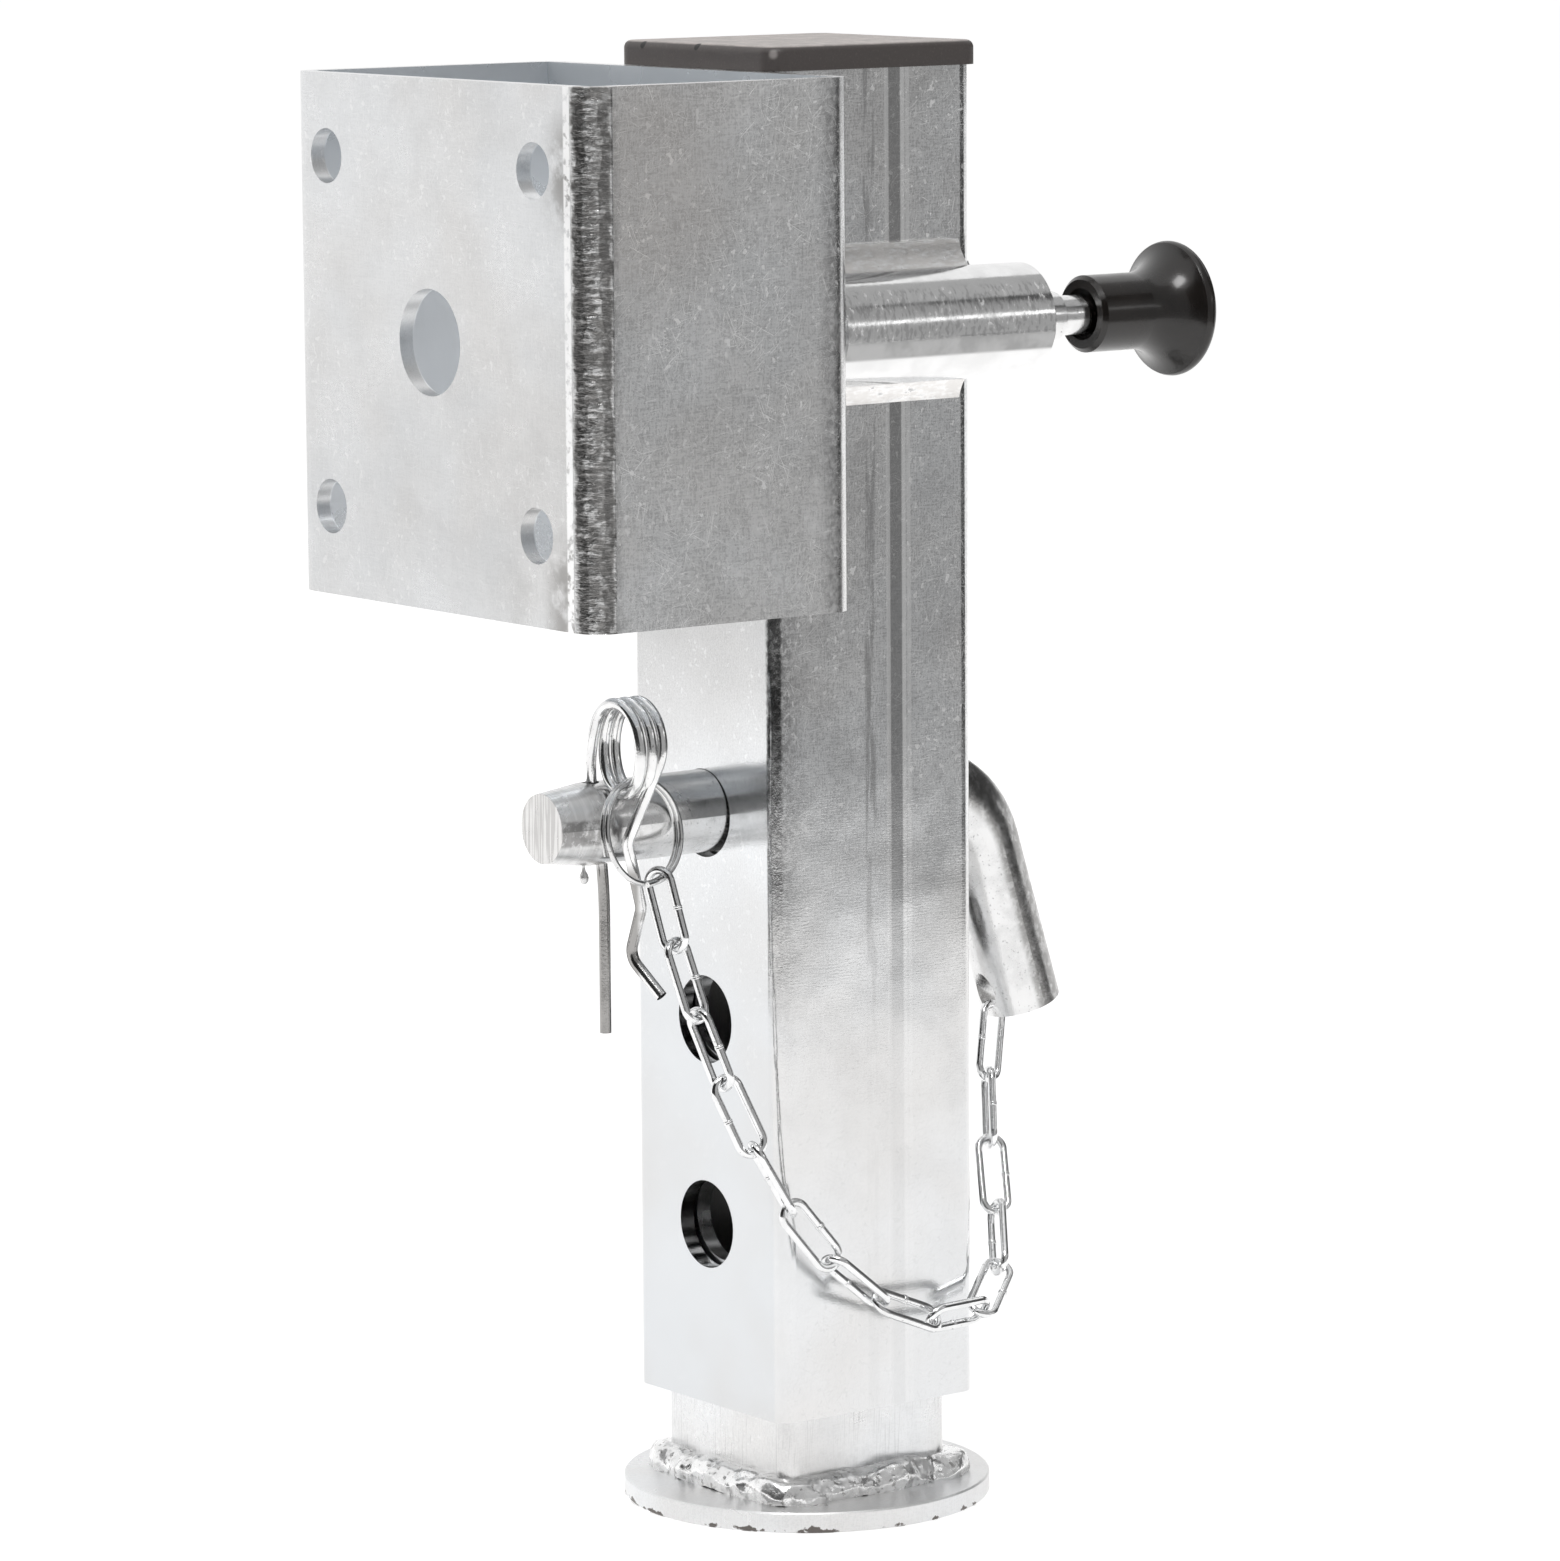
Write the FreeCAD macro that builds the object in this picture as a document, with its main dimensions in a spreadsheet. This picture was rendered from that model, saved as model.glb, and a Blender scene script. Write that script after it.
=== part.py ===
# Trailer prop stand: a telescopic square leg that swivels on a bolt-on box bracket.
# Frame: millimetres, +Z up, origin on the ground at the centre of the foot disc.
# The bracket bolts on with its -Y face; the swivel bolt, the plunger and the locking pin run along Y.
import FreeCAD, Part
import math
import os
import re
import Sketcher
from FreeCAD import Placement, Rotation, Vector

doc = FreeCAD.newDocument("PropStand")
sheet = doc.addObject("Spreadsheet::Sheet", "Sizes")
subparts = []

# Driving sizes: millimetres, degrees and counts
SIZES = {
    # Leg tubes, foot and cap
    "leg_side": 60.0,
    "leg_wall": 4.0,
    "leg_corner": 4.5,
    "leg_inner_corner": 1.5,
    "leg_base": 26.0,
    "leg_length": 324.0,
    "tube_gap": 1.0,
    "inner_wall": 4.0,
    "inner_corner": 4.0,
    "inner_bore_corner": 1.5,
    "inner_top_gap": 47.0,
    "foot_diameter": 90.0,
    "foot_thickness": 5.0,
    "foot_edge": 0.4,
    "foot_weld_leg": 6.5,
    "foot_weld_slope": 5.2,
    "cap_overhang": 1.3,
    "cap_thickness": 5.8,
    "cap_corner": 5.0,
    "cap_edge": 1.8,
    "cap_plug_depth": 15.0,
    "cap_plug_wall": 2.4,
    "cap_plug_gap": 0.6,
    "cap_rib_gap": 0.1,
    "cap_rib_height": 1.6,
    "cap_rib_pitch": 4.4,
    # Cross holes for the locking pin
    "pin_hole": 21.5,
    "hole_pitch": 50.5,
    "hole_base": 70.4,
    "pin_lift": 0.6,
    "inner_hole_lift": 1.2,
    "top_hole_room": 20.0,
    "inner_hole_count": 4,
    # Box bracket, folded from two plates that are welded along two corners
    "bracket_left": 58.0,
    "bracket_right": 64.0,
    "bracket_depth": 76.0,
    "bracket_gap": 1.5,
    "bracket_sink": 0.75,
    "bracket_height": 123.5,
    "plate": 4.0,
    "bend_outside": 7.0,
    "bend_inside": 3.0,
    "weld_toe": 7.0,
    "weld_crown": 6.4,
    "mount_hole": 13.0,
    "mount_pitch_x": 85.0,
    "mount_pitch_z": 83.0,
    "access_hole": 25.0,
    # Swivel bolt and what sits on it
    "pivot_inset": 61.0,
    "pivot_shank": 16.0,
    "pivot_hole_gap": 0.05,
    "bolt_head_width": 24.0,
    "bolt_head_height": 10.0,
    "washer_diameter": 30.0,
    "washer_thickness": 3.0,
    "spacer_diameter": 40.0,
    "face_gap": 0.3,
    "nut_height": 13.0,
    "bolt_end": 4.0,
    "sleeve_diameter": 24.0,
    # Sprung plunger on the side of the leg
    "housing_diameter": 26.9,
    "housing_bore": 18.0,
    "housing_inset": 0.5,
    "housing_front": 34.0,
    "housing_edge": 0.8,
    "housing_weld_leg": 5.5,
    "housing_weld_length": 52.0,
    "bush_nose_diameter": 11.9,
    "bush_nose": 9.4,
    "bush_seat": 10.0,
    "rod_diameter": 9.6,
    "rod_gap": 0.05,
    "tip_diameter": 12.0,
    "tip_gap": 0.3,
    "lock_hole_gap": 0.4,
    "lock_guide_gap": 0.05,
    "guide_length": 12.0,
    "collar_diameter": 17.4,
    "collar_thickness": 4.0,
    "collar_back": 22.0,
    "plunger_rise": 0.8,
    "spring_diameter": 15.4,
    "spring_wire": 1.6,
    "spring_turns": 5,
    "spring_end_gap": 0.3,
    "knob_gap": 8.5,
    "knob_length": 32.0,
    "hub_diameter": 18.6,
    "flare_diameter": 33.0,
    "flare_edge": 2.2,
    "flare_back": 3.4,
    "flare_start": 15.5,
    "flare_radius": 13.0,
    "flare_shoulder": 1.1,
    "crown_step": 0.9,
    "hub_edge": 1.0,
    "recess_diameter": 12.5,
    "recess_depth": 4.0,
    "rod_grip": 20.0,
    # Locking pin
    "pin_diameter": 20.0,
    "pin_reach": 47.5,
    "nose_diameter": 16.8,
    "nose_length": 12.0,
    "bend_gap": 3.5,
    "bend_radius": 22.0,
    "bend_angle": 72.5,
    "handle_length": 44.0,
    "clip_hole": 4.2,
    "clip_inset": 16.1,
    "clip_slope": 3.8,
    "eye_hole": 6.8,
    "eye_bridge": 1.5,
    "eye_play": 0.7,
    # Spring clip, split ring and chain
    "clip_wire": 2.8,
    "clip_tail": 41.0,
    "clip_coil_width": 20.0,
    "clip_coil_height": 24.6,
    "clip_coil_rise": 19.0,
    "clip_coil_offset": 10.7,
    "clip_bend": 5.0,
    "clip_cross": 3.4,
    "clip_waist": 20.0,
    "clip_throat": 32.0,
    "clip_toe": 41.0,
    "clip_throat_in": 5.6,
    "clip_toe_out": 2.6,
    "clip_toe_back": 6.5,
    "clip_coil_pitch": 3.2,
    "clip_coil_back": 0.6,
    "clip_stub": 2.0,
    "clip_arm_clear": 0.6,
    "clip_arm_start": 2.1,
    "clip_waist_in": 1.9,
    "clip_waist_back": 4.0,
    "clip_throat_back": 3.2,
    "ring_wire": 1.4,
    "ring_diameter": 26.0,
    "ring_side": 14.4,
    "ring_drop": 0.75,
    "ring_inset": 3.0,
    "ring_turn": 12.0,
    "ring_tilt": 10.0,
    "ring_hang": 74.0,
    "ring_play": 0.5,
    "ring_pitch_share": 1.04,
    "chain_wire": 2.0,
    "chain_width": 8.4,
    "chain_links": 14,
    "chain_slack": 0.2,
    "chain_ease": 15.0,
    "chain_clear": 12.0,
    "chain_rest": 22.5,
}
for row, (name, value) in enumerate(SIZES.items(), 1):
    sheet.set(f"A{row}", name)
    sheet.set(f"B{row}", str(value))
    sheet.setAlias(f"B{row}", name)
doc.recompute()

# Sizes that follow from the driving ones
FOLLOWS = {
    "inner_side": "( leg_side - 2 * leg_wall - 2 * tube_gap )",
    "inner_length": "( pivot_height - inner_top_gap - foot_thickness )",
    "pivot_height": "( leg_base + leg_length - pivot_inset )",
    "bracket_base": "( pivot_height - bracket_sink - bracket_height / 2 )",
    "leg_hole_count": "( floor( ( bracket_base - top_hole_room - hole_base ) / hole_pitch ) + 1 )",
    "housing_back": "( leg_side / 2 - housing_inset )",
    "pin_front": "( leg_side / 2 + pin_reach )",
    "bend_start": "( leg_side / 2 + bend_gap )",
    "clip_place": "( pin_front - clip_inset )",
    "ring_place": "( clip_place - ring_inset )",
}
FUNCTIONS = ("sin", "cos", "sqrt", "floor", "deg")


def size(name):
    """Read one size as a number."""
    return evaluate(name) if name in FOLLOWS else float(sheet.get(name))


def bind(thing, bindings):
    """Bind properties of an object to expressions; bare size names are read from the sheet."""
    for path, text in bindings.items():
        thing.setExpression(path, text)


def sized(text):
    """Put the sheet's name before each size that an expression names, and write out those that follow."""
    def spell(found):
        word = found[0]
        if word in FOLLOWS:
            return sized(FOLLOWS[word])
        return word if word in FUNCTIONS else "Sizes." + word

    return re.sub(r"[A-Za-z_]\w*", spell, text)


def register(thing, label):
    """Keep an object as a finished sub-part of the stand."""
    thing.Label = label
    subparts.append(thing)
    return thing


def place(thing, x="0", y="0", z="0", turn=None):
    """Give an object its place from expressions, and a fixed turn."""
    if turn is not None:
        thing.Placement = Placement(Vector(0, 0, 0), turn)
    for axis, text in (("x", x), ("y", y), ("z", z)):
        if text != "0":
            thing.setExpression("Placement.Base." + axis, sized(text))
    return thing


LIE_ALONG_Y = Rotation(Vector(1, 0, 0), -90)


def new_body(name):
    return doc.addObject("PartDesign::Body", name)


def origin_plane(body, role):
    for feature in body.Origin.OriginFeatures:
        if feature.Role == role:
            return feature
    raise ValueError(role)


def new_sketch(body, role, offset=None):
    sketch = body.newObject("Sketcher::SketchObject", body.Name + "Sketch")
    sketch.AttachmentSupport = [(origin_plane(body, role), "")]
    sketch.MapMode = "FlatFace"
    if offset is not None:
        sketch.setExpression("AttachmentOffset.Base.z", sized(offset))
    return sketch


def evaluate(text):
    """Work out an expression's value from the sheet, to draw a sketch near its final form."""
    return float(sheet.evalExpression(sized(text)))


def draw_outline(sketch, corners):
    """Draw a closed outline; a corner is (x, y) or (x, y, radius, side) when an arc leaves it.

    The arc bulges to the right of the way to the next corner when side is 1, to the left when -1.
    """
    count = len(corners)
    spots = [Vector(evaluate(c[0]), evaluate(c[1]), 0) for c in corners]
    for index, corner in enumerate(corners):
        start = spots[index]
        end = spots[(index + 1) % count]
        if len(corner) == 2:
            sketch.addGeometry(Part.LineSegment(start, end), False)
            continue
        chord = end - start
        radius = evaluate(corner[2])
        height = radius - math.sqrt(radius ** 2 - (chord.Length / 2) ** 2)
        right = Vector(chord.y, -chord.x, 0).normalize()
        middle = (start + end) * 0.5 + right * (height * corner[3])
        first, last = (start, end) if corner[3] > 0 else (end, start)
        sketch.addGeometry(Part.Arc(first, middle, last), False)
    for index, corner in enumerate(corners):
        following = (index + 1) % count
        leave = start_point(sketch, index, spots[index])
        arrive = start_point(sketch, index, spots[following])
        next_leave = start_point(sketch, following, spots[following])
        sketch.addConstraint(Sketcher.Constraint("Coincident", index, arrive, following, next_leave))
        for kind, text in (("DistanceX", corner[0]), ("DistanceY", corner[1])):
            value = evaluate(text)
            number = sketch.addConstraint(Sketcher.Constraint(kind, -1, 1, index, leave, value))
            sketch.setExpression(f"Constraints[{number}]", sized(text))
        if len(corner) > 2:
            radius = Sketcher.Constraint("Radius", index, evaluate(corner[2]))
            number = sketch.addConstraint(radius)
            sketch.setExpression(f"Constraints[{number}]", sized(corner[2]))


def start_point(sketch, index, spot):
    """Tell which end of a line or arc lies at a spot: 1 for its start, 2 for its end."""
    geometry = sketch.Geometry[index]
    return 1 if geometry.StartPoint.distanceToPoint(spot) < 1e-6 else 2


def draw_circle(sketch, x, y, diameter):
    circle = Part.Circle(Vector(evaluate(x), evaluate(y), 0), Vector(0, 0, 1), evaluate(diameter) / 2)
    index = sketch.addGeometry(circle, False)
    for kind, text in (("DistanceX", x), ("DistanceY", y)):
        number = sketch.addConstraint(Sketcher.Constraint(kind, -1, 1, index, 3, evaluate(text)))
        sketch.setExpression(f"Constraints[{number}]", sized(text))
    number = sketch.addConstraint(Sketcher.Constraint("Diameter", index, evaluate(diameter)))
    sketch.setExpression(f"Constraints[{number}]", sized(diameter))


def pad(body, sketch, length):
    feature = body.newObject("PartDesign::Pad", body.Name + "Pad")
    feature.Profile = sketch
    feature.setExpression("Length", sized(length))
    doc.recompute()
    return feature


def pocket(body, sketch, length=None, reverse=False):
    """Cut a sketch through, or to a depth; the volume has to fall."""
    before = body.Shape.Volume
    feature = body.newObject("PartDesign::Pocket", body.Name + "Pocket")
    feature.Profile = sketch
    if length is None:
        feature.Type = 1
        feature.Midplane = True
    else:
        feature.setExpression("Length", sized(length))
        feature.Reversed = reverse
    doc.recompute()
    if body.Shape.Volume > before - 1e-3:
        raise RuntimeError(body.Name + ": a pocket cuts nothing")
    return feature


def edges_where(shape, test):
    return [f"Edge{number}" for number, edge in enumerate(shape.Edges, 1) if test(edge)]


def upright(edge):
    ends = [vertex.Point for vertex in edge.Vertexes]
    return len(ends) == 2 and abs(ends[0].x - ends[1].x) < 1e-6 and abs(ends[0].y - ends[1].y) < 1e-6


def round_edges(body, radius, test, kind="Fillet"):
    """Round or bevel the edges of the body's tip that pass a test."""
    tip = body.Tip
    feature = body.newObject("PartDesign::" + kind, body.Name + kind)
    feature.Base = (tip, edges_where(tip.Shape, test))
    feature.setExpression("Radius" if kind == "Fillet" else "Size", sized(radius))
    doc.recompute()
    return feature


def near(value, target):
    return abs(value - target) < 1e-4


def edge_at(x, y):
    """A test for the upright edge at a place in plan."""
    spot_x = evaluate(x)
    spot_y = evaluate(y)

    def test(edge):
        point = edge.Vertexes[0].Point
        return upright(edge) and near(point.x, spot_x) and near(point.y, spot_y)
    return test


def all_at_height(z):
    height = evaluate(z)
    return lambda edge: all(near(vertex.Point.z, height) for vertex in edge.Vertexes)


def square(half):
    minus = f"-1 * {half}"
    return [(minus, minus), (half, minus), (half, half), (minus, half)]


def lathe(label, profile, x="0", y="0", z="0", turn=None):
    """A turned piece: its profile is drawn as (radius, height) and turned about its own axis."""
    body = new_body(label)
    sketch = new_sketch(body, "XZ_Plane")
    draw_outline(sketch, profile)
    feature = body.newObject("PartDesign::Revolution", body.Name + "Turn")
    feature.Profile = sketch
    feature.ReferenceAxis = (sketch, ["V_Axis"])
    feature.Angle = 360
    doc.recompute()
    place(body, x, y, z, turn)
    return register(body, label)


def ring_profile(inner, outer, low, high):
    return [(inner, low), (outer, low), (outer, high), (inner, high)]


def square_tube(label, side, wall, corner, bore_corner, base, length):
    """A square tube that stands on a height, with rounded corners outside and inside."""
    body = new_body(label)
    sketch = new_sketch(body, "XY_Plane", base)
    draw_outline(sketch, square(f"{side} / 2"))
    pad(body, sketch, length)
    round_edges(body, corner, upright)
    bore = new_sketch(body, "XY_Plane", f"{base} + {length}")
    half = f"( {side} / 2 - {wall} )"
    draw_outline(bore, square(half))
    pocket(body, bore, length)
    bore_half = evaluate(half)
    round_edges(body, bore_corner, lambda edge: upright(edge)
                and near(abs(edge.Vertexes[0].Point.x), bore_half)
                and near(abs(edge.Vertexes[0].Point.y), bore_half))
    return body


def cross_holes(body, places):
    """Holes along Y through a body; each place is (x, height, diameter)."""
    sketch = new_sketch(body, "XZ_Plane")
    for x, height, diameter in places:
        draw_circle(sketch, x, height, diameter)
    pocket(body, sketch)


def build_leg():
    """The outer tube with its three pin holes and the swivel hole."""
    body = square_tube("outer_tube", "leg_side", "leg_wall", "leg_corner", "leg_inner_corner",
                       "leg_base", "leg_length")
    places = [("0", f"hole_base + {step} * hole_pitch", "pin_hole")
              for step in range(int(size("leg_hole_count")))]
    places.append(("0", "pivot_height", "pivot_shank + 2 * pivot_hole_gap"))
    cross_holes(body, places)
    register(body, "outer_tube")
    lathe("crush_sleeve", ring_profile("pivot_shank / 2 + pivot_hole_gap", "sleeve_diameter / 2",
                                       "leg_wall - leg_side / 2", "leg_side / 2 - leg_wall"),
          z="pivot_height", turn=LIE_ALONG_Y)


def build_inner_leg():
    """The inner tube, the foot disc that it is welded to and the bead around it."""
    body = square_tube("inner_tube", "inner_side", "inner_wall", "inner_corner", "inner_bore_corner",
                       "foot_thickness", "inner_length")
    places = [("0", f"hole_base + inner_hole_lift + {step} * hole_pitch", "pin_hole")
              for step in range(int(size("inner_hole_count")))]
    cross_holes(body, places)
    register(body, "inner_tube")
    half = "foot_diameter / 2"
    lathe("foot_disc", [("0", "0"), (f"{half} - foot_edge", "0"), (half, "foot_edge"),
                        (half, "foot_thickness - foot_edge"), (f"{half} - foot_edge", "foot_thickness"),
                        ("0", "foot_thickness")])
    weld = new_body("foot_weld")
    sketch = new_sketch(weld, "XY_Plane", "foot_thickness")
    draw_outline(sketch, square("( inner_side / 2 + foot_weld_leg )"))
    pad(weld, sketch, "foot_weld_leg")
    round_edges(weld, "foot_weld_leg + inner_corner / 2", upright)
    top = "foot_thickness + foot_weld_leg"
    round_edges(weld, "foot_weld_slope", all_at_height(top), "Chamfer")
    bore = new_sketch(weld, "XY_Plane", top)
    draw_outline(bore, square("inner_side / 2"))
    pocket(weld, bore, "foot_weld_leg")
    inner_half = size("inner_side") / 2
    round_edges(weld, "inner_corner", lambda edge: upright(edge)
                and near(abs(edge.Vertexes[0].Point.x), inner_half)
                and near(abs(edge.Vertexes[0].Point.y), inner_half))
    register(weld, "foot_weld")


def build_cap():
    """The plastic cap: a rounded plate with a ribbed, hollow plug that grips the tube."""
    body = new_body("end_cap")
    top = "leg_base + leg_length"
    plate = new_sketch(body, "XY_Plane", top)
    draw_outline(plate, square("( leg_side / 2 + cap_overhang )"))
    pad(body, plate, "cap_thickness")
    round_edges(body, "cap_corner", upright)
    round_edges(body, "cap_edge", all_at_height(f"{top} + cap_thickness"))
    plug_half = "( leg_side / 2 - leg_wall - cap_plug_gap )"
    plug = new_sketch(body, "XY_Plane", f"{top} - cap_plug_depth")
    draw_outline(plug, square(plug_half))
    pad(body, plug, "cap_plug_depth")
    for rib in range(3):
        band = new_sketch(body, "XY_Plane", f"{top} - cap_rib_height * 1.5 - {rib} * cap_rib_pitch")
        draw_outline(band, square("( leg_side / 2 - leg_wall - cap_rib_gap )"))
        pad(body, band, "cap_rib_height")
    doc.recompute()
    rib_half = evaluate("leg_side / 2 - leg_wall - cap_rib_gap")
    round_edges(body, "leg_inner_corner", lambda edge: upright(edge)
                and near(abs(edge.Vertexes[0].Point.x), rib_half)
                and near(abs(edge.Vertexes[0].Point.y), rib_half))
    hollow = new_sketch(body, "XY_Plane", f"{top} - cap_plug_depth")
    draw_outline(hollow, square("( leg_side / 2 - leg_wall - cap_plug_gap - cap_plug_wall )"))
    pocket(body, hollow, "cap_plug_depth", reverse=True)
    register(body, "end_cap")


FRONT = "( 0 - leg_side / 2 - bracket_gap - bracket_depth )"
REAR = "( 0 - leg_side / 2 - bracket_gap )"
LEFT = "( 0 - bracket_left )"
RIGHT = "bracket_right"


def folded_plate(label, outline, outside, inside):
    """One bracket plate, folded once; its two fold edges are given in plan."""
    body = new_body(label)
    sketch = new_sketch(body, "XY_Plane", "bracket_base")
    draw_outline(sketch, outline)
    pad(body, sketch, "bracket_height")
    round_edges(body, "bend_outside", edge_at(*outside))
    round_edges(body, "bend_inside", edge_at(*inside))
    return body


def corner_weld(label, outline, crown):
    """The bead that fills the open corner between the two plates."""
    body = new_body(label)
    sketch = new_sketch(body, "XY_Plane", "bracket_base")
    draw_outline(sketch, outline)
    pad(body, sketch, "bracket_height")
    round_edges(body, "weld_crown", edge_at(*crown))
    register(body, label)


def build_bracket():
    """Two folded plates, welded along the front right and the rear left corner."""
    front_in = f"( {FRONT} + plate )"
    rear_in = f"( {REAR} - plate )"
    left_in = f"( {LEFT} + plate )"
    right_in = f"( {RIGHT} - plate )"
    front_toe = (f"{RIGHT} - weld_toe", FRONT)
    side_toe = (RIGHT, f"{FRONT} + weld_toe")
    rear_toe = (f"{LEFT} + weld_toe", REAR)
    back_side_toe = (LEFT, f"{REAR} - weld_toe")
    front = folded_plate("bracket_front_plate", [
        (LEFT, FRONT), front_toe, (right_in, front_in), (left_in, front_in), (left_in, rear_in),
        back_side_toe], (LEFT, FRONT), (left_in, front_in))
    half_x = "mount_pitch_x / 2"
    half_z = "mount_pitch_z / 2"
    places = [("0", "pivot_height", "access_hole")]
    for side in (f"0 - {half_x}", half_x):
        for level in (f"pivot_height - {half_z}", f"pivot_height + {half_z}"):
            places.append((side, level, "mount_hole"))
    cross_holes(front, places)
    register(front, "bracket_front_plate")
    rear = folded_plate("bracket_rear_plate", [
        (RIGHT, REAR), rear_toe, (left_in, rear_in), (right_in, rear_in), (right_in, front_in),
        side_toe], (RIGHT, REAR), (right_in, rear_in))
    lock = "tip_diameter + 2 * lock_hole_gap"
    cross_holes(rear, [("0", "pivot_height", "pivot_shank"),
                       (PLUNGER_X, PLUNGER_Z, lock),
                       ("plunger_rise", f"pivot_height - {PLUNGER_X}", lock)])
    register(rear, "bracket_rear_plate")
    corner_weld("bracket_front_weld", [front_toe, (RIGHT, FRONT), side_toe, (right_in, front_in)],
                (RIGHT, FRONT))
    corner_weld("bracket_rear_weld", [rear_toe, (LEFT, REAR), back_side_toe, (left_in, rear_in)],
                (LEFT, REAR))


def hexagon(name, width, height, y):
    prism = doc.addObject("Part::Prism", name)
    prism.Polygon = 6
    bind(prism, {"Circumradius": sized(f"{width} / sqrt(3)"), "Height": sized(height)})
    return place(prism, y=y, z="pivot_height", turn=LIE_ALONG_Y)


def cylinder(name, diameter, length, x="0", y="0", z="0", turn=LIE_ALONG_Y):
    solid = doc.addObject("Part::Cylinder", name)
    bind(solid, {"Radius": sized(f"{diameter} / 2"), "Height": sized(length)})
    return place(solid, x, y, z, turn)


def boolean(kind, name, base, tool):
    result = doc.addObject("Part::" + kind, name)
    result.Base = base
    result.Tool = tool
    return result


def build_pivot():
    """The swivel bolt with its head in the bracket, washers, spacer and nut behind the leg."""
    head_back = f"{REAR} - plate - washer_thickness"
    head = hexagon("bolt_head", "bolt_head_width", "bolt_head_height", f"{head_back} - bolt_head_height")
    shank_length = f"leg_side / 2 + face_gap + washer_thickness + nut_height + bolt_end - ( {head_back} )"
    shank = cylinder("bolt_shank", "pivot_shank", shank_length, y=head_back, z="pivot_height")
    register(boolean("Fuse", "pivot_bolt", head, shank), "pivot_bolt")
    hole = "pivot_shank / 2"
    rim = "washer_diameter / 2"
    lathe("head_washer", ring_profile(hole, rim, "0", "washer_thickness"),
          y=head_back, z="pivot_height", turn=LIE_ALONG_Y)
    lathe("pivot_spacer", ring_profile(hole, "spacer_diameter / 2", "0", "bracket_gap - face_gap"),
          y=REAR, z="pivot_height", turn=LIE_ALONG_Y)
    nut_seat = "leg_side / 2 + face_gap"
    lathe("nut_washer", ring_profile(hole, rim, "0", "washer_thickness"),
          y=nut_seat, z="pivot_height", turn=LIE_ALONG_Y)
    block = hexagon("nut_block", "bolt_head_width", "nut_height", f"{nut_seat} + washer_thickness")
    bore = cylinder("nut_bore", "pivot_shank", "nut_height", y=f"{nut_seat} + washer_thickness",
                    z="pivot_height")
    register(boolean("Cut", "pivot_nut", block, bore), "pivot_nut")


PLUNGER_X = "( leg_side / 2 + housing_diameter / 2 )"
PLUNGER_Z = "( pivot_height + plunger_rise )"
TIP_BACK = f"( {REAR} + tip_gap )"
BUSH_FACE = "( housing_front - bush_seat )"
NOSE_END = "( housing_front + bush_nose )"
HUB_FACE = f"( {NOSE_END} + knob_gap )"
COLLAR_BACK = "( collar_back - leg_side / 2 )"


def build_plunger():
    """The welded housing, its guide bush, and the sprung rod with its knob."""
    turned = dict(x=PLUNGER_X, z=PLUNGER_Z, turn=LIE_ALONG_Y)
    outer = "housing_diameter / 2"
    bore = "housing_bore / 2"
    guide = "tip_diameter / 2 + lock_guide_gap"
    back = "( 0 - housing_back )"
    lathe("plunger_housing", [
        (guide, back), (f"{outer} - housing_edge", back), (outer, f"{back} + housing_edge"),
        (outer, "housing_front - housing_edge"), (f"{outer} - housing_edge", "housing_front"),
        (bore, "housing_front"), (bore, f"{back} + guide_length"), (guide, f"{back} + guide_length")],
        **turned)
    slide = "rod_diameter / 2 + rod_gap"
    nose = "bush_nose_diameter / 2"
    lathe("plunger_bush", [
        (slide, BUSH_FACE), (bore, BUSH_FACE), (bore, "housing_front"), (nose, "housing_front"),
        (nose, f"{NOSE_END} - 0.5"), (f"{nose} - 0.5", NOSE_END), (slide, NOSE_END)], **turned)
    tip = "tip_diameter / 2"
    rod = "rod_diameter / 2"
    collar = "collar_diameter / 2"
    collar_front = f"( {COLLAR_BACK} + collar_thickness )"
    lathe("plunger_rod", [
        ("0", TIP_BACK), (f"{tip} - 1", TIP_BACK), (tip, f"{TIP_BACK} + 1"), (tip, COLLAR_BACK),
        (collar, COLLAR_BACK), (collar, collar_front), (rod, collar_front),
        (rod, f"{HUB_FACE} + rod_grip"), ("0", f"{HUB_FACE} + rod_grip")], **turned)
    build_knob(turned)
    build_spring(collar_front)
    for side, label in ((1, "housing_top_weld"), (-1, "housing_lower_weld")):
        build_housing_weld(label, side)


def build_knob(turned):
    """The flared pull knob, moulded in one piece with a recess around the rod."""
    hub = "hub_diameter / 2"
    flare = "flare_diameter / 2"
    back = f"( {HUB_FACE} + knob_length )"
    recess = "recess_diameter / 2"
    rod = "rod_diameter / 2"
    rim = f"( {back} - flare_back )"
    shoulder = f"( {flare} - flare_shoulder )"
    crown = "( flare_back - crown_step )"
    lathe("plunger_knob", [
        (recess, HUB_FACE), (f"{hub} - hub_edge", HUB_FACE), (hub, f"{HUB_FACE} + hub_edge"),
        (hub, f"{HUB_FACE} + flare_start", "flare_radius", -1),
        (f"{flare} - flare_shoulder / 2", f"{rim} - flare_edge", "flare_edge", 1),
        (shoulder, f"{rim} + crown_step", f"( {shoulder}^2 + {crown}^2 ) / ( 2 * {crown} )", 1),
        ("0", back),
        ("0", f"{HUB_FACE} + rod_grip"), (rod, f"{HUB_FACE} + rod_grip"),
        (rod, f"{HUB_FACE} + recess_depth"), (recess, f"{HUB_FACE} + recess_depth")], **turned)


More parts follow.
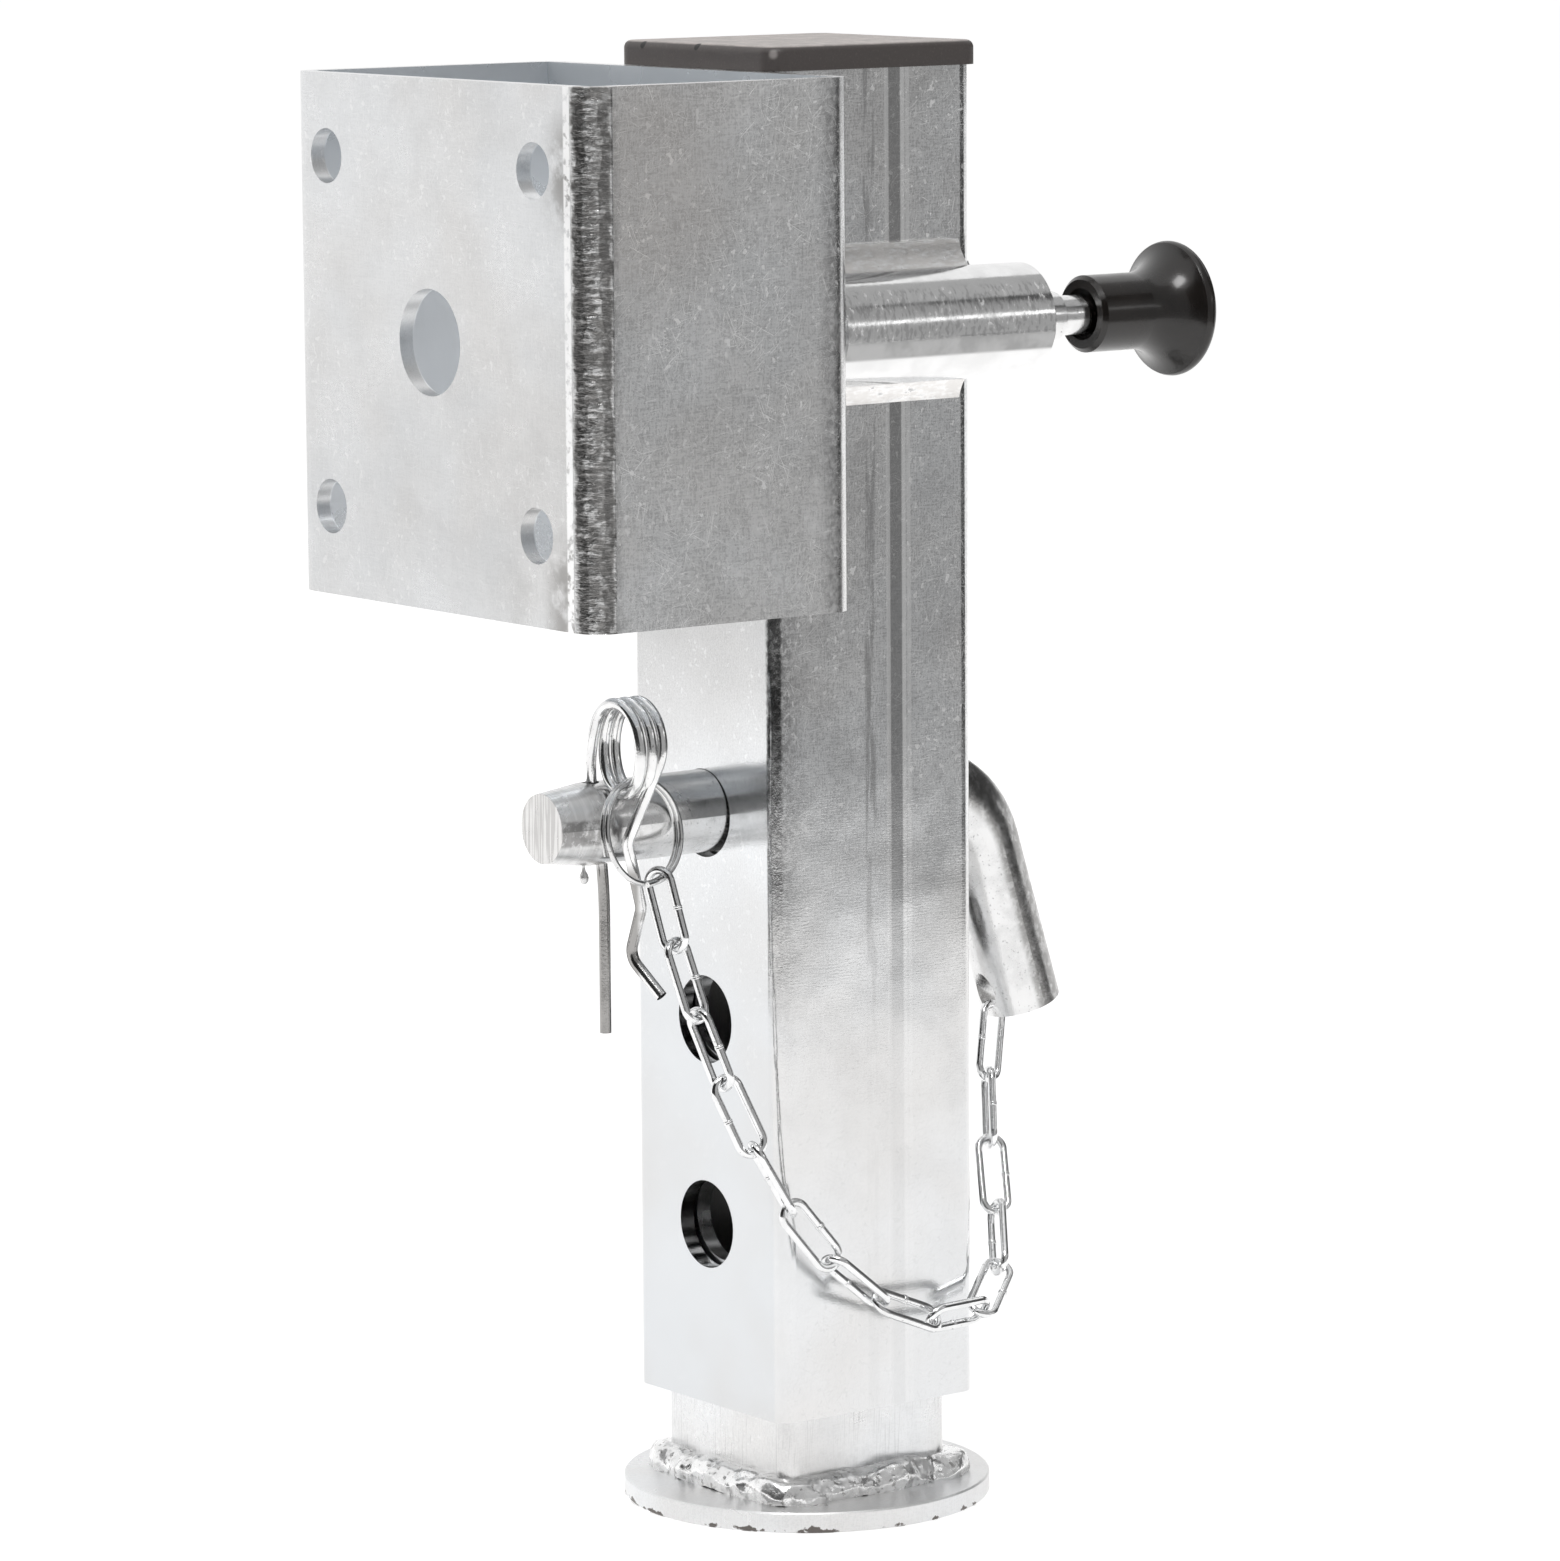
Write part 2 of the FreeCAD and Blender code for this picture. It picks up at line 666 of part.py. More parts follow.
def build_spring(collar_front):
    """The compression spring between the rod's collar and the bush."""
    gap = size("spring_end_gap")
    wire = size("spring_wire")
    start = evaluate(collar_front) + gap + wire / 2
    end = evaluate(BUSH_FACE) - gap - wire / 2
    turns = size("spring_turns")
    radius = (size("spring_diameter") - wire) / 2
    helix = Part.makeHelix((end - start) / turns, end - start, radius)
    seat = Part.makeCircle(wire / 2, Vector(radius, 0, 0), Vector(0, 1, 0))
    coil = Part.Wire(helix.Edges).makePipeShell([Part.Wire(seat)], True, True)
    feature = doc.addObject("Part::Feature", "plunger_spring")
    feature.Shape = coil
    feature.Placement = Placement(Vector(evaluate(PLUNGER_X), start, evaluate(PLUNGER_Z)), LIE_ALONG_Y)
    register(feature, "plunger_spring")


def build_housing_weld(label, side):
    """A fillet weld in the groove between the housing and the leg's side."""
    reach = "housing_diameter / 2 + housing_weld_leg"
    wedge = doc.addObject("Part::Box", label + "_stock")
    bind(wedge, {"Length": sized("housing_weld_leg + 2"), "Width": sized("housing_weld_length"),
                 "Height": sized("housing_weld_leg + 4")})
    low = f"{PLUNGER_Z} + housing_diameter / 2 - 4" if side > 0 else f"{PLUNGER_Z} - ( {reach} )"
    place(wedge, x="leg_side / 2", y="0 - housing_back", z=low)
    shave = cylinder(label + "_shave", "4 * housing_weld_leg", "housing_weld_length",
                     x="leg_side / 2 + 2.55 * housing_weld_leg", y="0 - housing_back",
                     z=f"{PLUNGER_Z} + {side} * ( housing_diameter / 2 + 1.45 * housing_weld_leg )")
    tube = cylinder(label + "_tube", "housing_diameter", "housing_weld_length",
                    x=PLUNGER_X, y="0 - housing_back", z=PLUNGER_Z)
    trimmed = boolean("Cut", label + "_trimmed", wedge, shave)
    register(boolean("Cut", label, trimmed, tube), label)


def pin_height():
    steps = int(size("leg_hole_count")) - 1
    return size("hole_base") + steps * size("hole_pitch") + size("pin_lift")


PIN_Z = "( hole_base + ( leg_hole_count - 1 ) * hole_pitch + pin_lift )"


def build_pin():
    """The locking pin: a bar with a tapered nose, bent down at its handle end."""
    shank = cylinder("pin_shank", "pin_diameter", "pin_front - nose_length + bend_start",
                     y="0 - pin_front + nose_length", z=PIN_Z)
    nose = doc.addObject("Part::Cone", "pin_nose")
    bind(nose, {"Radius1": sized("nose_diameter / 2"), "Radius2": sized("pin_diameter / 2"),
                "Height": sized("nose_length")})
    place(nose, y="0 - pin_front", z=PIN_Z, turn=LIE_ALONG_Y)
    bend = doc.addObject("Part::Torus", "pin_bend")
    bind(bend, {"Radius1": "Sizes.bend_radius", "Radius2": sized("pin_diameter / 2"),
                "Angle3": sized("bend_angle * 1 deg")})
    swing = Rotation(Vector(0, 0, 1), Vector(0, 1, 0), Vector(-1, 0, 0), "XYZ")
    place(bend, y="bend_start", z=f"{PIN_Z} - bend_radius", turn=swing)
    angle = math.radians(size("bend_angle"))
    handle = cylinder("pin_handle", "pin_diameter", "handle_length")
    along = Vector(0, math.cos(angle), -math.sin(angle))
    handle.Placement = Placement(Vector(0, 0, 0), Rotation(Vector(0, 0, 1), along))
    place(handle, y="bend_start + bend_radius * sin(bend_angle * 1 deg)",
          z=f"{PIN_Z} - bend_radius + bend_radius * cos(bend_angle * 1 deg)")
    whole = doc.addObject("Part::MultiFuse", "pin_bar")
    whole.Shapes = [shank, nose, bend, handle]
    lean = math.atan2(size("clip_slope"), size("pin_diameter"))
    drill = cylinder("clip_drill", "clip_hole", "3 * pin_diameter")
    tilt = Rotation(Vector(0, 0, 1), Vector(0, -math.sin(lean), math.cos(lean)))
    reach = 1.5 * size("pin_diameter")
    drill.Placement = Placement(Vector(0, 0, 0), tilt)
    place(drill, y=f"0 - clip_place + {reach * math.sin(lean)}",
          z=f"{PIN_Z} - {reach * math.cos(lean)}")
    drilled = boolean("Cut", "pin_drilled", whole, drill)
    eye = doc.addObject("Part::Feature", "eye_drill")
    edge, way = eye_edge()
    spot = edge + way * (size("eye_bridge") + size("eye_hole") / 2)
    slant = eye_direction()
    eye.Shape = Part.makeCylinder(size("eye_hole") / 2, size("pin_diameter"),
                                  spot - slant * (size("pin_diameter") / 2), slant)
    register(boolean("Cut", "locking_pin", drilled, eye), "locking_pin")


def handle_end():
    """Centre of the handle's end face and the way the handle points."""
    angle = math.radians(size("bend_angle"))
    along = Vector(0, math.cos(angle), -math.sin(angle))
    centre = Vector(0, size("bend_start"), pin_height() - size("bend_radius"))
    turn_end = centre + Vector(0, math.sin(angle), math.cos(angle)) * size("bend_radius")
    return turn_end + along * size("handle_length"), along


def eye_edge():
    """The lower edge of the handle that faces the leg, and the way into the bar from it."""
    end, along = handle_end()
    inward = Vector(0, along.z, -along.y)
    edge = end + inward * (size("pin_diameter") / 2)
    return edge, (inward * -1 - along).normalize()


def eye_direction():
    """The way the eye is drilled: from the side that faces the leg, down through the end face."""
    along = handle_end()[1]
    inward = Vector(0, along.z, -along.y)
    return (along - inward).normalize()


def smooth_wire(points, closed=False, tight=None):
    """Straight runs through the points, with each corner rounded by an arc as large as fits.

    A corner named in tight has an arc of that radius at most.
    """
    tight = tight or {}
    count = len(points)
    inner = range(count) if closed else range(1, count - 1)
    trims = {}
    for index in inner:
        before = points[index - 1]
        after = points[(index + 1) % count]
        here = points[index]
        trims[index] = 0.499 * min((here - before).Length, (after - here).Length)
        turn = math.pi - (before - here).getAngle(after - here)
        if index in tight:
            trims[index] = min(trims[index], tight[index] * math.tan(turn / 2))
    edges = []
    cursor = None if closed else points[0]
    last = None
    first = None
    for index in inner:
        here = points[index]
        back = (points[index - 1] - here).normalize()
        ahead = (points[(index + 1) % count] - here).normalize()
        start = here + back * trims[index]
        end = here + ahead * trims[index]
        if cursor is not None and cursor.distanceToPoint(start) > 1e-5:
            edges.append(Part.LineSegment(cursor, start).toShape())
        turn = math.pi - back.getAngle(ahead)
        if turn < 1e-4:
            edges.append(Part.LineSegment(start, end).toShape())
        else:
            radius = trims[index] / math.tan(turn / 2)
            middle_way = (back + ahead).normalize()
            middle = here + middle_way * (radius / math.cos(turn / 2) - radius)
            edges.append(Part.Arc(start, middle, end).toShape())
        first = start if first is None else first
        cursor = end
        last = end
    if closed:
        if last.distanceToPoint(first) > 1e-5:
            edges.append(Part.LineSegment(last, first).toShape())
    else:
        edges.append(Part.LineSegment(cursor, points[-1]).toShape())
    return Part.Wire(edges)


def rod_along(path, diameter):
    """Round wire of one diameter along a path."""
    start = path.Edges[0].valueAt(path.Edges[0].FirstParameter)
    way = path.Edges[0].tangentAt(path.Edges[0].FirstParameter)
    ring = Part.Wire(Part.makeCircle(diameter / 2, start, way))
    return path.makePipeShell([ring], True, False)


def wire_part(label, shape):
    feature = doc.addObject("Part::Feature", label)
    feature.Shape = shape
    return register(feature, label)


def coil_places():
    """The clip's coil: two and a half flattened turns beside each other."""
    half_width = (size("clip_coil_width") - size("clip_wire")) / 2
    half_height = (size("clip_coil_height") - size("clip_wire")) / 2
    centre_x = size("clip_coil_offset")
    centre_z = pin_height() + size("clip_coil_rise")
    first_y = coil_first_y()
    steps = 8
    places = []
    for step in range(0, int(2.5 * steps) + 1):
        angle = math.pi - 2 * math.pi * step / steps
        places.append(Vector(centre_x + half_width * math.cos(angle) / math.cos(math.pi / steps),
                             first_y + size("clip_coil_pitch") * step / steps,
                             centre_z + half_height * math.sin(angle) / math.cos(math.pi / steps)))
    return places


def coil_first_y():
    return -size("clip_place") - size("clip_slope") / 2 - size("clip_coil_back")


def build_clip():
    """The spring clip: one straight leg through the pin, a coil, and an arm in front of the pin."""
    axis = pin_height()
    radius = size("pin_diameter") / 2
    low_y = -size("clip_place") + size("clip_slope") / 2
    high_y = -size("clip_place") - size("clip_slope") / 2
    coil = coil_places()
    leg = [Vector(0, low_y, axis - radius - size("clip_tail")),
           Vector(0, low_y, axis - radius - size("clip_stub")),
           Vector(0, high_y, axis + radius)]
    beside = radius + size("clip_wire") / 2
    arm = [Vector(beside + size("clip_arm_clear"), high_y + size("clip_arm_start"),
                  axis - size("clip_cross")),
           Vector(beside - size("clip_waist_in"), low_y + size("clip_waist_back"),
                  axis - size("clip_waist")),
           Vector(beside - size("clip_throat_in"), low_y + size("clip_throat_back"),
                  axis - size("clip_throat")),
           Vector(beside + size("clip_toe_out"), low_y + size("clip_toe_back"),
                  axis - size("clip_toe"))]
    bends = range(len(leg) + len(coil), len(leg) + len(coil) + len(arm))
    path = smooth_wire(leg + coil + arm, tight=dict.fromkeys(bends, size("clip_bend")))
    wire_part("r_clip", rod_along(path, size("clip_wire")))


def ring_centre():
    radius = (size("ring_diameter") - size("ring_wire")) / 2
    return Vector(size("ring_side"), -size("ring_place"), pin_height() - size("ring_drop")), radius


def ring_point(angle, side):
    """A point on the split ring at an angle from its rear, moved sideways along its axis."""
    centre, radius = ring_centre()
    turn = math.radians(size("ring_turn"))
    tilt = math.radians(size("ring_tilt"))
    across = Vector(-math.sin(turn), math.cos(turn), 0)
    level = Vector(math.cos(turn), math.sin(turn), 0)
    up = Vector(0, 0, 1) * math.cos(tilt) - level * math.sin(tilt)
    axis = level * math.cos(tilt) + Vector(0, 0, 1) * math.sin(tilt)
    return centre + (across * math.cos(angle) + up * math.sin(angle)) * radius + axis * side


def build_ring():
    """The split ring: two turns of wire that lie against each other."""
    steps = 12
    pitch = size("ring_wire") * size("ring_pitch_share")
    stretch = 1 / math.cos(math.pi / steps)
    points = []
    for step in range(2 * steps - 1):
        side = pitch * (step - steps) / steps
        angle = math.radians(200) - 2 * math.pi * step / steps
        spot = ring_point(angle, side)
        middle = (spot + ring_point(angle + math.pi, side)) * 0.5
        points.append(middle + (spot - middle) * stretch)
    wire_part("split_ring", rod_along(smooth_wire(points), size("ring_wire")))


FRONT_WAY = Vector(0.80, -0.58, 0.15)
LINK_ROLLS = (33, 135, 230, 160, 260, 340, 55, 130, 220, 175, 295, 15, 105, 41)


def chain_route():
    """Places that the chain hangs through, from the split ring round the leg to the handle's eye."""
    face = size("leg_side") / 2
    clear = size("chain_clear")
    low = size("leg_base") + size("chain_rest")
    rise = pin_height() - low
    hang = math.radians(-size("ring_hang"))
    held = ring_point(hang, 0)
    start = held + (ring_centre()[0] - held).normalize() * (size("ring_wire") / 2 + size("ring_play"))
    edge, way = eye_edge()
    end = edge + way * (size("eye_bridge") + size("eye_play"))
    return [start,
            Vector(face - 10.0, -face - 23.0, low + 0.77 * rise),
            Vector(face - 5.5, -face - 20.0, low + 0.636 * rise),
            Vector(face - 0.5, -face - 16.0, low + 0.506 * rise),
            Vector(face + 4.0, -face - 10.5, low + 0.38 * rise),
            Vector(face + clear - 4.5, -face - 2.5, low + 0.255 * rise),
            Vector(face + clear - 2.0, -face + 8.0, low + 0.146 * rise),
            Vector(face + clear - 0.5, -face + 21.0, low + 0.057 * rise),
            Vector(face + clear, face - 23.0, low + 0.004 * rise),
            Vector(face + clear - 3.0, face - 6.0, low),
            Vector(face, face + 7.0, low + 0.061 * rise),
            Vector(face - 10.0, face + 14.0, low + 0.158 * rise),
            Vector(face - 18.0, face + 18.5, low + 0.279 * rise),
            Vector(face - 24.5, face + 23.0, low + 0.401 * rise),
            end]


def even_joints(route, links):
    """Joints of equal spacing along a smooth curve through the route, first and last on its ends."""
    curve = Part.BSplineCurve()
    curve.interpolate(route)
    first = curve.FirstParameter
    last = curve.LastParameter

    def walk(pitch):
        """Step along the curve by straight lengths of one pitch; stop at its end."""
        joints = [curve.value(first)]
        here = first
        stride = (last - first) / 400
        while len(joints) <= links:
            near_side = here
            reach = min(here + stride, last)
            while curve.value(reach).distanceToPoint(joints[-1]) < pitch:
                if reach == last:
                    return joints, True
                near_side = reach
                reach = min(reach + stride, last)
            for _ in range(30):
                middle = (near_side + reach) / 2
                if curve.value(middle).distanceToPoint(joints[-1]) < pitch:
                    near_side = middle
                else:
                    reach = middle
            here = reach
            joints.append(curve.value(here))
        return joints, False

    low = 5.0
    high = 60.0
    for _ in range(40):
        pitch = (low + high) / 2
        if walk(pitch)[1]:
            high = pitch
        else:
            low = pitch
    return walk(low)[0][:links] + [curve.value(last)]


def link_shape(before, start, end, after, roll):
    """One welded oval link of round wire; a sharper bend at an end leaves it a little more slack."""
    wire = size("chain_wire")
    half_width = (size("chain_width") - wire) / 2
    along = (end - start).normalize()
    facing = (FRONT_WAY - along * FRONT_WAY.dot(along)).normalize()
    normal = Rotation(along, roll).multVec(facing)
    across = normal.cross(along).normalize()

    def tip(joint, way, beyond):
        """Centre of the end bow of the wire at a joint."""
        bend = 0 if beyond is None else math.degrees(way.getAngle(beyond - joint))
        slack = size("chain_slack") * (1 + bend / size("chain_ease"))
        return joint + way * (wire / 2 + slack / 2 - half_width)

    far = tip(end, along, after)
    near_end = tip(start, along * -1, before)
    side = across * half_width
    edges = [Part.LineSegment(near_end + side, far + side).toShape(),
             Part.Arc(far + side, far + along * half_width, far - side).toShape(),
             Part.LineSegment(far - side, near_end - side).toShape(),
             Part.Arc(near_end - side, near_end - along * half_width, near_end + side).toShape()]
    return rod_along(Part.Wire(edges), wire)


def build_chain():
    """The chain from the split ring, round the front edge of the leg, to the handle's eye."""
    links = int(size("chain_links"))
    joints = [None] + even_joints(chain_route(), links) + [None]
    for index in range(links):
        roll = LINK_ROLLS[index % len(LINK_ROLLS)]
        shape = link_shape(*joints[index:index + 4], roll)
        wire_part(f"chain_link_{index + 1:02d}", shape)


def check_and_write():
    """Refuse a failed object or an empty or broken solid, then write one file for each sub-part."""
    doc.recompute()
    for thing in doc.Objects:
        for word in ("Invalid", "Error"):
            if word in thing.State:
                raise RuntimeError(f"{thing.Label} is {thing.State}")
    os.makedirs("parts", exist_ok=True)
    for thing in subparts:
        shape = thing.Shape
        if shape.isNull() or not shape.isValid() or not shape.Solids:
            raise RuntimeError(thing.Label + " has no sound solid")
        shape.exportStep(os.path.join("parts", thing.Label + ".step"))


build_leg()
build_inner_leg()
build_cap()
build_bracket()
build_pivot()
build_plunger()
build_pin()
build_clip()
build_ring()
build_chain()
check_and_write()
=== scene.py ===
"""Looks of the trailer prop stand: zinc plated steel, welds, chain and black plastic.

Lengths are in metres, angles in degrees.
"""
import math

import bpy
import numpy as np
from mathutils import Matrix, Vector, noise


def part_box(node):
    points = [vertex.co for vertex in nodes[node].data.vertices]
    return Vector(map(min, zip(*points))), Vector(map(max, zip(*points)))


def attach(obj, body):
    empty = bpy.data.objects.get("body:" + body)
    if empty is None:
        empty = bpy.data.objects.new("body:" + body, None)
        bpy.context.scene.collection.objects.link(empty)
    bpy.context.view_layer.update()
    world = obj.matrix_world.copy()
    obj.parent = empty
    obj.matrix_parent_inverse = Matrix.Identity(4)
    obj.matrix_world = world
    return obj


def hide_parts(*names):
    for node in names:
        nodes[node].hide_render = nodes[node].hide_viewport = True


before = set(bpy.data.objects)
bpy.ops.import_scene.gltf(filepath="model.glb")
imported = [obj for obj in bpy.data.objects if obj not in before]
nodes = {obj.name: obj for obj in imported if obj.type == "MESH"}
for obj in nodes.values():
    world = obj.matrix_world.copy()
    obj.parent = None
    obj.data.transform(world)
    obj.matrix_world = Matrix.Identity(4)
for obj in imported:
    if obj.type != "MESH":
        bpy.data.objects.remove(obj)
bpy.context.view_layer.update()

MM = 0.001

# Camera: place, aim and lens that frame the stand as the photograph does
CAMERA_PLACE = Vector((1344.66, -1014.65, 422.23)) * MM
CAMERA_AZIMUTH = 53.15
CAMERA_ELEVATION = 8.30
CAMERA_ROLL = -0.38
FOCAL_PIXELS = 7000
PICTURE_WIDTH = 1560
SENSOR_WIDTH = 36.0

# Shares of the frame's x and y that run along the picture's horizontal
PICTURE_X = 0.6
PICTURE_Y = 0.8

# Turns of the scratches that lie in a side face and in a front face
SIDE_TURNS = ((12, 0, 0), (48, 0, 0), (81, 0, 0), (-24, 0, 0), (-63, 0, 0), (90, 0, 0))
FRONT_TURNS = ((0, 8, 0), (0, 41, 0), (0, 84, 0), (0, -35, 0), (0, -68, 0), (0, 90, 0))

# Faces of the CAD solids that the marks refer to
LEG_FACE = 0.0300
BRACKET_FRONT = -0.1075
BRACKET_MIDDLE = (0.003, -0.0695)
BRACKET_INNER_HALF = (0.057, 0.034)
OUTER_BORE_HALF = 0.0262
INNER_BORE_HALF = 0.0212

# Painted highlight lines beside the leg's seam: place on the right face and strength
SEAM_HIGHLIGHTS = ((0.0034, 0.7), (0.0081, 0.8), (0.0096, 0.6))
# Nicks in the cap's upper edge, and the painted highlight on its front corner
CAP_NICKS = ((-0.0205, -0.0306, 0.3548), (0.0012, -0.0306, 0.3550))
CAP_CORNER_HIGHLIGHT = (0.0298, -0.0298, 0.3540)
# Heights of the clip arm's two bends
CLIP_BENDS = (0.1385, 0.1500)

CHAIN_LINKS = 14
ROUND_STEPS = 16
FLAG_STEPS = 24

FLOOR_SIZE = 30.0
FLOOR_PAINT = (0.86, 0.855, 0.85, 1)
FLOOR_GLOW = 0.60
SOFT_WORLD = 0.48
LAMP_TARGET = Vector((0, 0, 0.18))

# Soft boxes: name, azimuth, height, distance, width and power
LAMPS = (
    ("key_light", -128, 1.3, 1.9, 1.3, 9),
    ("top_light", -20, 2.2, 0.9, 1.2, 6),
    ("rim_light", 120, 1.5, 1.8, 1.0, 5),
)
# Curved screens: name, first and last azimuth, lowest and highest point, distance and brightness
FLAGS = (
    ("front_flag", -126, -38, 0.0, 1.0, 1.00, 0.03),
    ("side_flag", -38, 46, 0.0, 1.0, 0.92, 0.38),
    ("side_flag_top", -38, 104, 1.0, 2.1, 1.00, 0.42),
    ("rear_flag", 46, 74, 0.0, 1.0, 0.92, 0.08),
    ("rear_flag_high", 74, 128, 0.30, 0.75, 1.00, 0.10),
    ("strip_light", 24, 52, 0.43, 0.50, 0.86, 1.6),
    ("knob_light", -62, -24, 1.25, 2.05, 0.90, 12.0),
)


def make_camera():
    """The camera, turned and placed as it was fitted to the photograph."""
    azimuth = math.radians(CAMERA_AZIMUTH)
    elevation = math.radians(CAMERA_ELEVATION)
    roll = math.radians(CAMERA_ROLL)
    back = Vector((math.sin(azimuth) * math.cos(elevation), -math.cos(azimuth) * math.cos(elevation),
                   math.sin(elevation)))
    level = Vector((math.cos(azimuth), math.sin(azimuth), 0))
    upright = back.cross(level)
    right = level * math.cos(roll) + upright * math.sin(roll)
    up = upright * math.cos(roll) - level * math.sin(roll)
    data = bpy.data.cameras.new("camera")
    data.sensor_fit = "HORIZONTAL"
    data.sensor_width = SENSOR_WIDTH
    data.lens = FOCAL_PIXELS * SENSOR_WIDTH / PICTURE_WIDTH
    data.clip_start = 0.05
    data.clip_end = 100
    camera = bpy.data.objects.new("camera", data)
    bpy.context.scene.collection.objects.link(camera)
    turn = Matrix((right, up, back)).transposed().to_4x4()
    camera.matrix_world = Matrix.Translation(CAMERA_PLACE) @ turn
    bpy.context.scene.camera = camera


class Shader:
    """A node material with short calls that add nodes and join them."""

    def __init__(self, name):
        self.material = bpy.data.materials.new(name)
        self.material.use_nodes = True
        self.tree = self.material.node_tree
        self.tree.nodes.clear()
        self.output = self.add("ShaderNodeOutputMaterial")
        self.place = self.add("ShaderNodeTexCoord").outputs["Object"]
        self.metal = 1.0

    def add(self, kind, inputs=None, **settings):
        node = self.tree.nodes.new(kind)
        for key, value in settings.items():
            setattr(node, key, value)
        for key, value in (inputs or {}).items():
            self.put(node.inputs[key], value)
        return node

    def put(self, socket, value):
        if isinstance(value, bpy.types.NodeSocket):
            self.tree.links.new(value, socket)
        else:
            socket.default_value = value

    def math(self, operation, *values):
        return self.add("ShaderNodeMath", dict(enumerate(values)), operation=operation).outputs[0]

    def product(self, first, *others):
        """Values multiplied with each other."""
        for value in others:
            first = self.math("MULTIPLY", first, value)
        return first

    def most(self, first, *others):
        """The greatest of several values."""
        for value in others:
            first = self.math("MAXIMUM", first, value)
        return first

    def rest(self, value):
        """What a value leaves of 1."""
        return self.math("SUBTRACT", 1.0, value)

    def axis(self, letter):
        parts = self.add("ShaderNodeSeparateXYZ", {0: self.place})
        return parts.outputs["XYZ".index(letter)]

    def across(self):
        """The place along the photograph's horizontal, counted from the leg's middle."""
        return self.math("ADD", self.product(self.axis("X"), PICTURE_X), self.product(self.axis("Y"), PICTURE_Y))

    def beyond(self, letter, middle, half):
        """How far a place lies outside a slab round the middle."""
        away = self.math("ABSOLUTE", self.math("SUBTRACT", self.axis(letter), middle))
        return self.math("SUBTRACT", away, half)

    def normal(self):
        """The surface's own normal, in the stand's frame."""
        return self.add("ShaderNodeTexCoord").outputs["Normal"]

    def facing(self, letter):
        return self.add("ShaderNodeSeparateXYZ", {0: self.normal()}).outputs["XYZ".index(letter)]

    def fade(self, value, low, high, to_low=0.0, to_high=1.0):
        """A smooth change from to_low to to_high as a value goes from low to high."""
        return self.add("ShaderNodeMapRange", {0: value, 1: low, 2: high, 3: to_low, 4: to_high},
                        interpolation_type="SMOOTHSTEP").outputs[0]

    def between(self, value, low, high, soft):
        """1 where a value lies between low and high, fading out over soft on each side."""
        return self.product(self.fade(value, low - soft, low), self.fade(value, high, high + soft, 1.0, 0.0))

    def spot(self, centre, radius, soft):
        """1 inside a ball round a place on the stand, fading out over soft."""
        away = self.add("ShaderNodeVectorMath", {0: self.place, 1: centre}, operation="DISTANCE")
        return self.fade(away.outputs["Value"], radius, radius + soft, 1.0, 0.0)

    def noise(self, scale, detail=3.0, rough=0.55, place=None, shift=0.0):
        place = self.place if place is None else place
        if shift:
            place = self.add("ShaderNodeVectorMath", {0: place, 1: (shift, shift, shift)}).outputs[0]
        return self.add("ShaderNodeTexNoise", {"Vector": place, "Scale": scale, "Detail": detail,
                                               "Roughness": rough}).outputs["Fac"]

    def stretched(self, turn, along, across):
        """The place, turned and scaled so that a pattern in it is long one way and fine the other."""
        turned_place = self.add("ShaderNodeMapping", {"Vector": self.place,
                                                      "Rotation": [math.radians(angle) for angle in turn]})
        return self.add("ShaderNodeVectorMath", {0: turned_place.outputs[0], 1: (across, across, along)},
                        operation="MULTIPLY").outputs[0]

    def scratches(self, turns, length, width, amount):
        """Fine short lines in several directions: 1 on a line, 0 elsewhere."""
        lines = []
        for turn in turns:
            place = self.stretched(turn, 1 / length, 1 / width)
            lines.append(self.fade(self.noise(1.0, 1.0, 0.4, place), amount, amount + 0.04))
        return self.most(*lines)

    def mix(self, factor, low, high, blend="MIX"):
        """Goes from one color to another with the factor."""
        mixer = self.add("ShaderNodeMix", {6: low, 7: high}, data_type="RGBA", blend_type=blend)
        self.put(mixer.inputs["Factor"], factor)
        return mixer.outputs[2]

    def bump(self, height, depth, strength, below=None):
        node = self.add("ShaderNodeBump", {"Height": height, "Distance": depth, "Strength": strength})
        if below is not None:
            self.put(node.inputs["Normal"], below)
        return node.outputs[0]

    def finish(self, color, roughness, normal, **fixed):
        """Close the material with one surface shader, as metallic as self.metal says."""
        surface = self.add("ShaderNodeBsdfPrincipled", {"Base Color": color, "Roughness": roughness,
                                                        "Metallic": self.metal, "Normal": normal})
        for key, value in fixed.items():
            surface.inputs[key.replace("_", " ")].default_value = value
        self.put(self.output.inputs["Surface"], surface.outputs[0])
        return self.material


def grey(level, blue=0.0):
    """A grey that leans to blue, or to brown below zero."""
    return (level * (1 - blue), level, level * (1 + blue), 1.0)


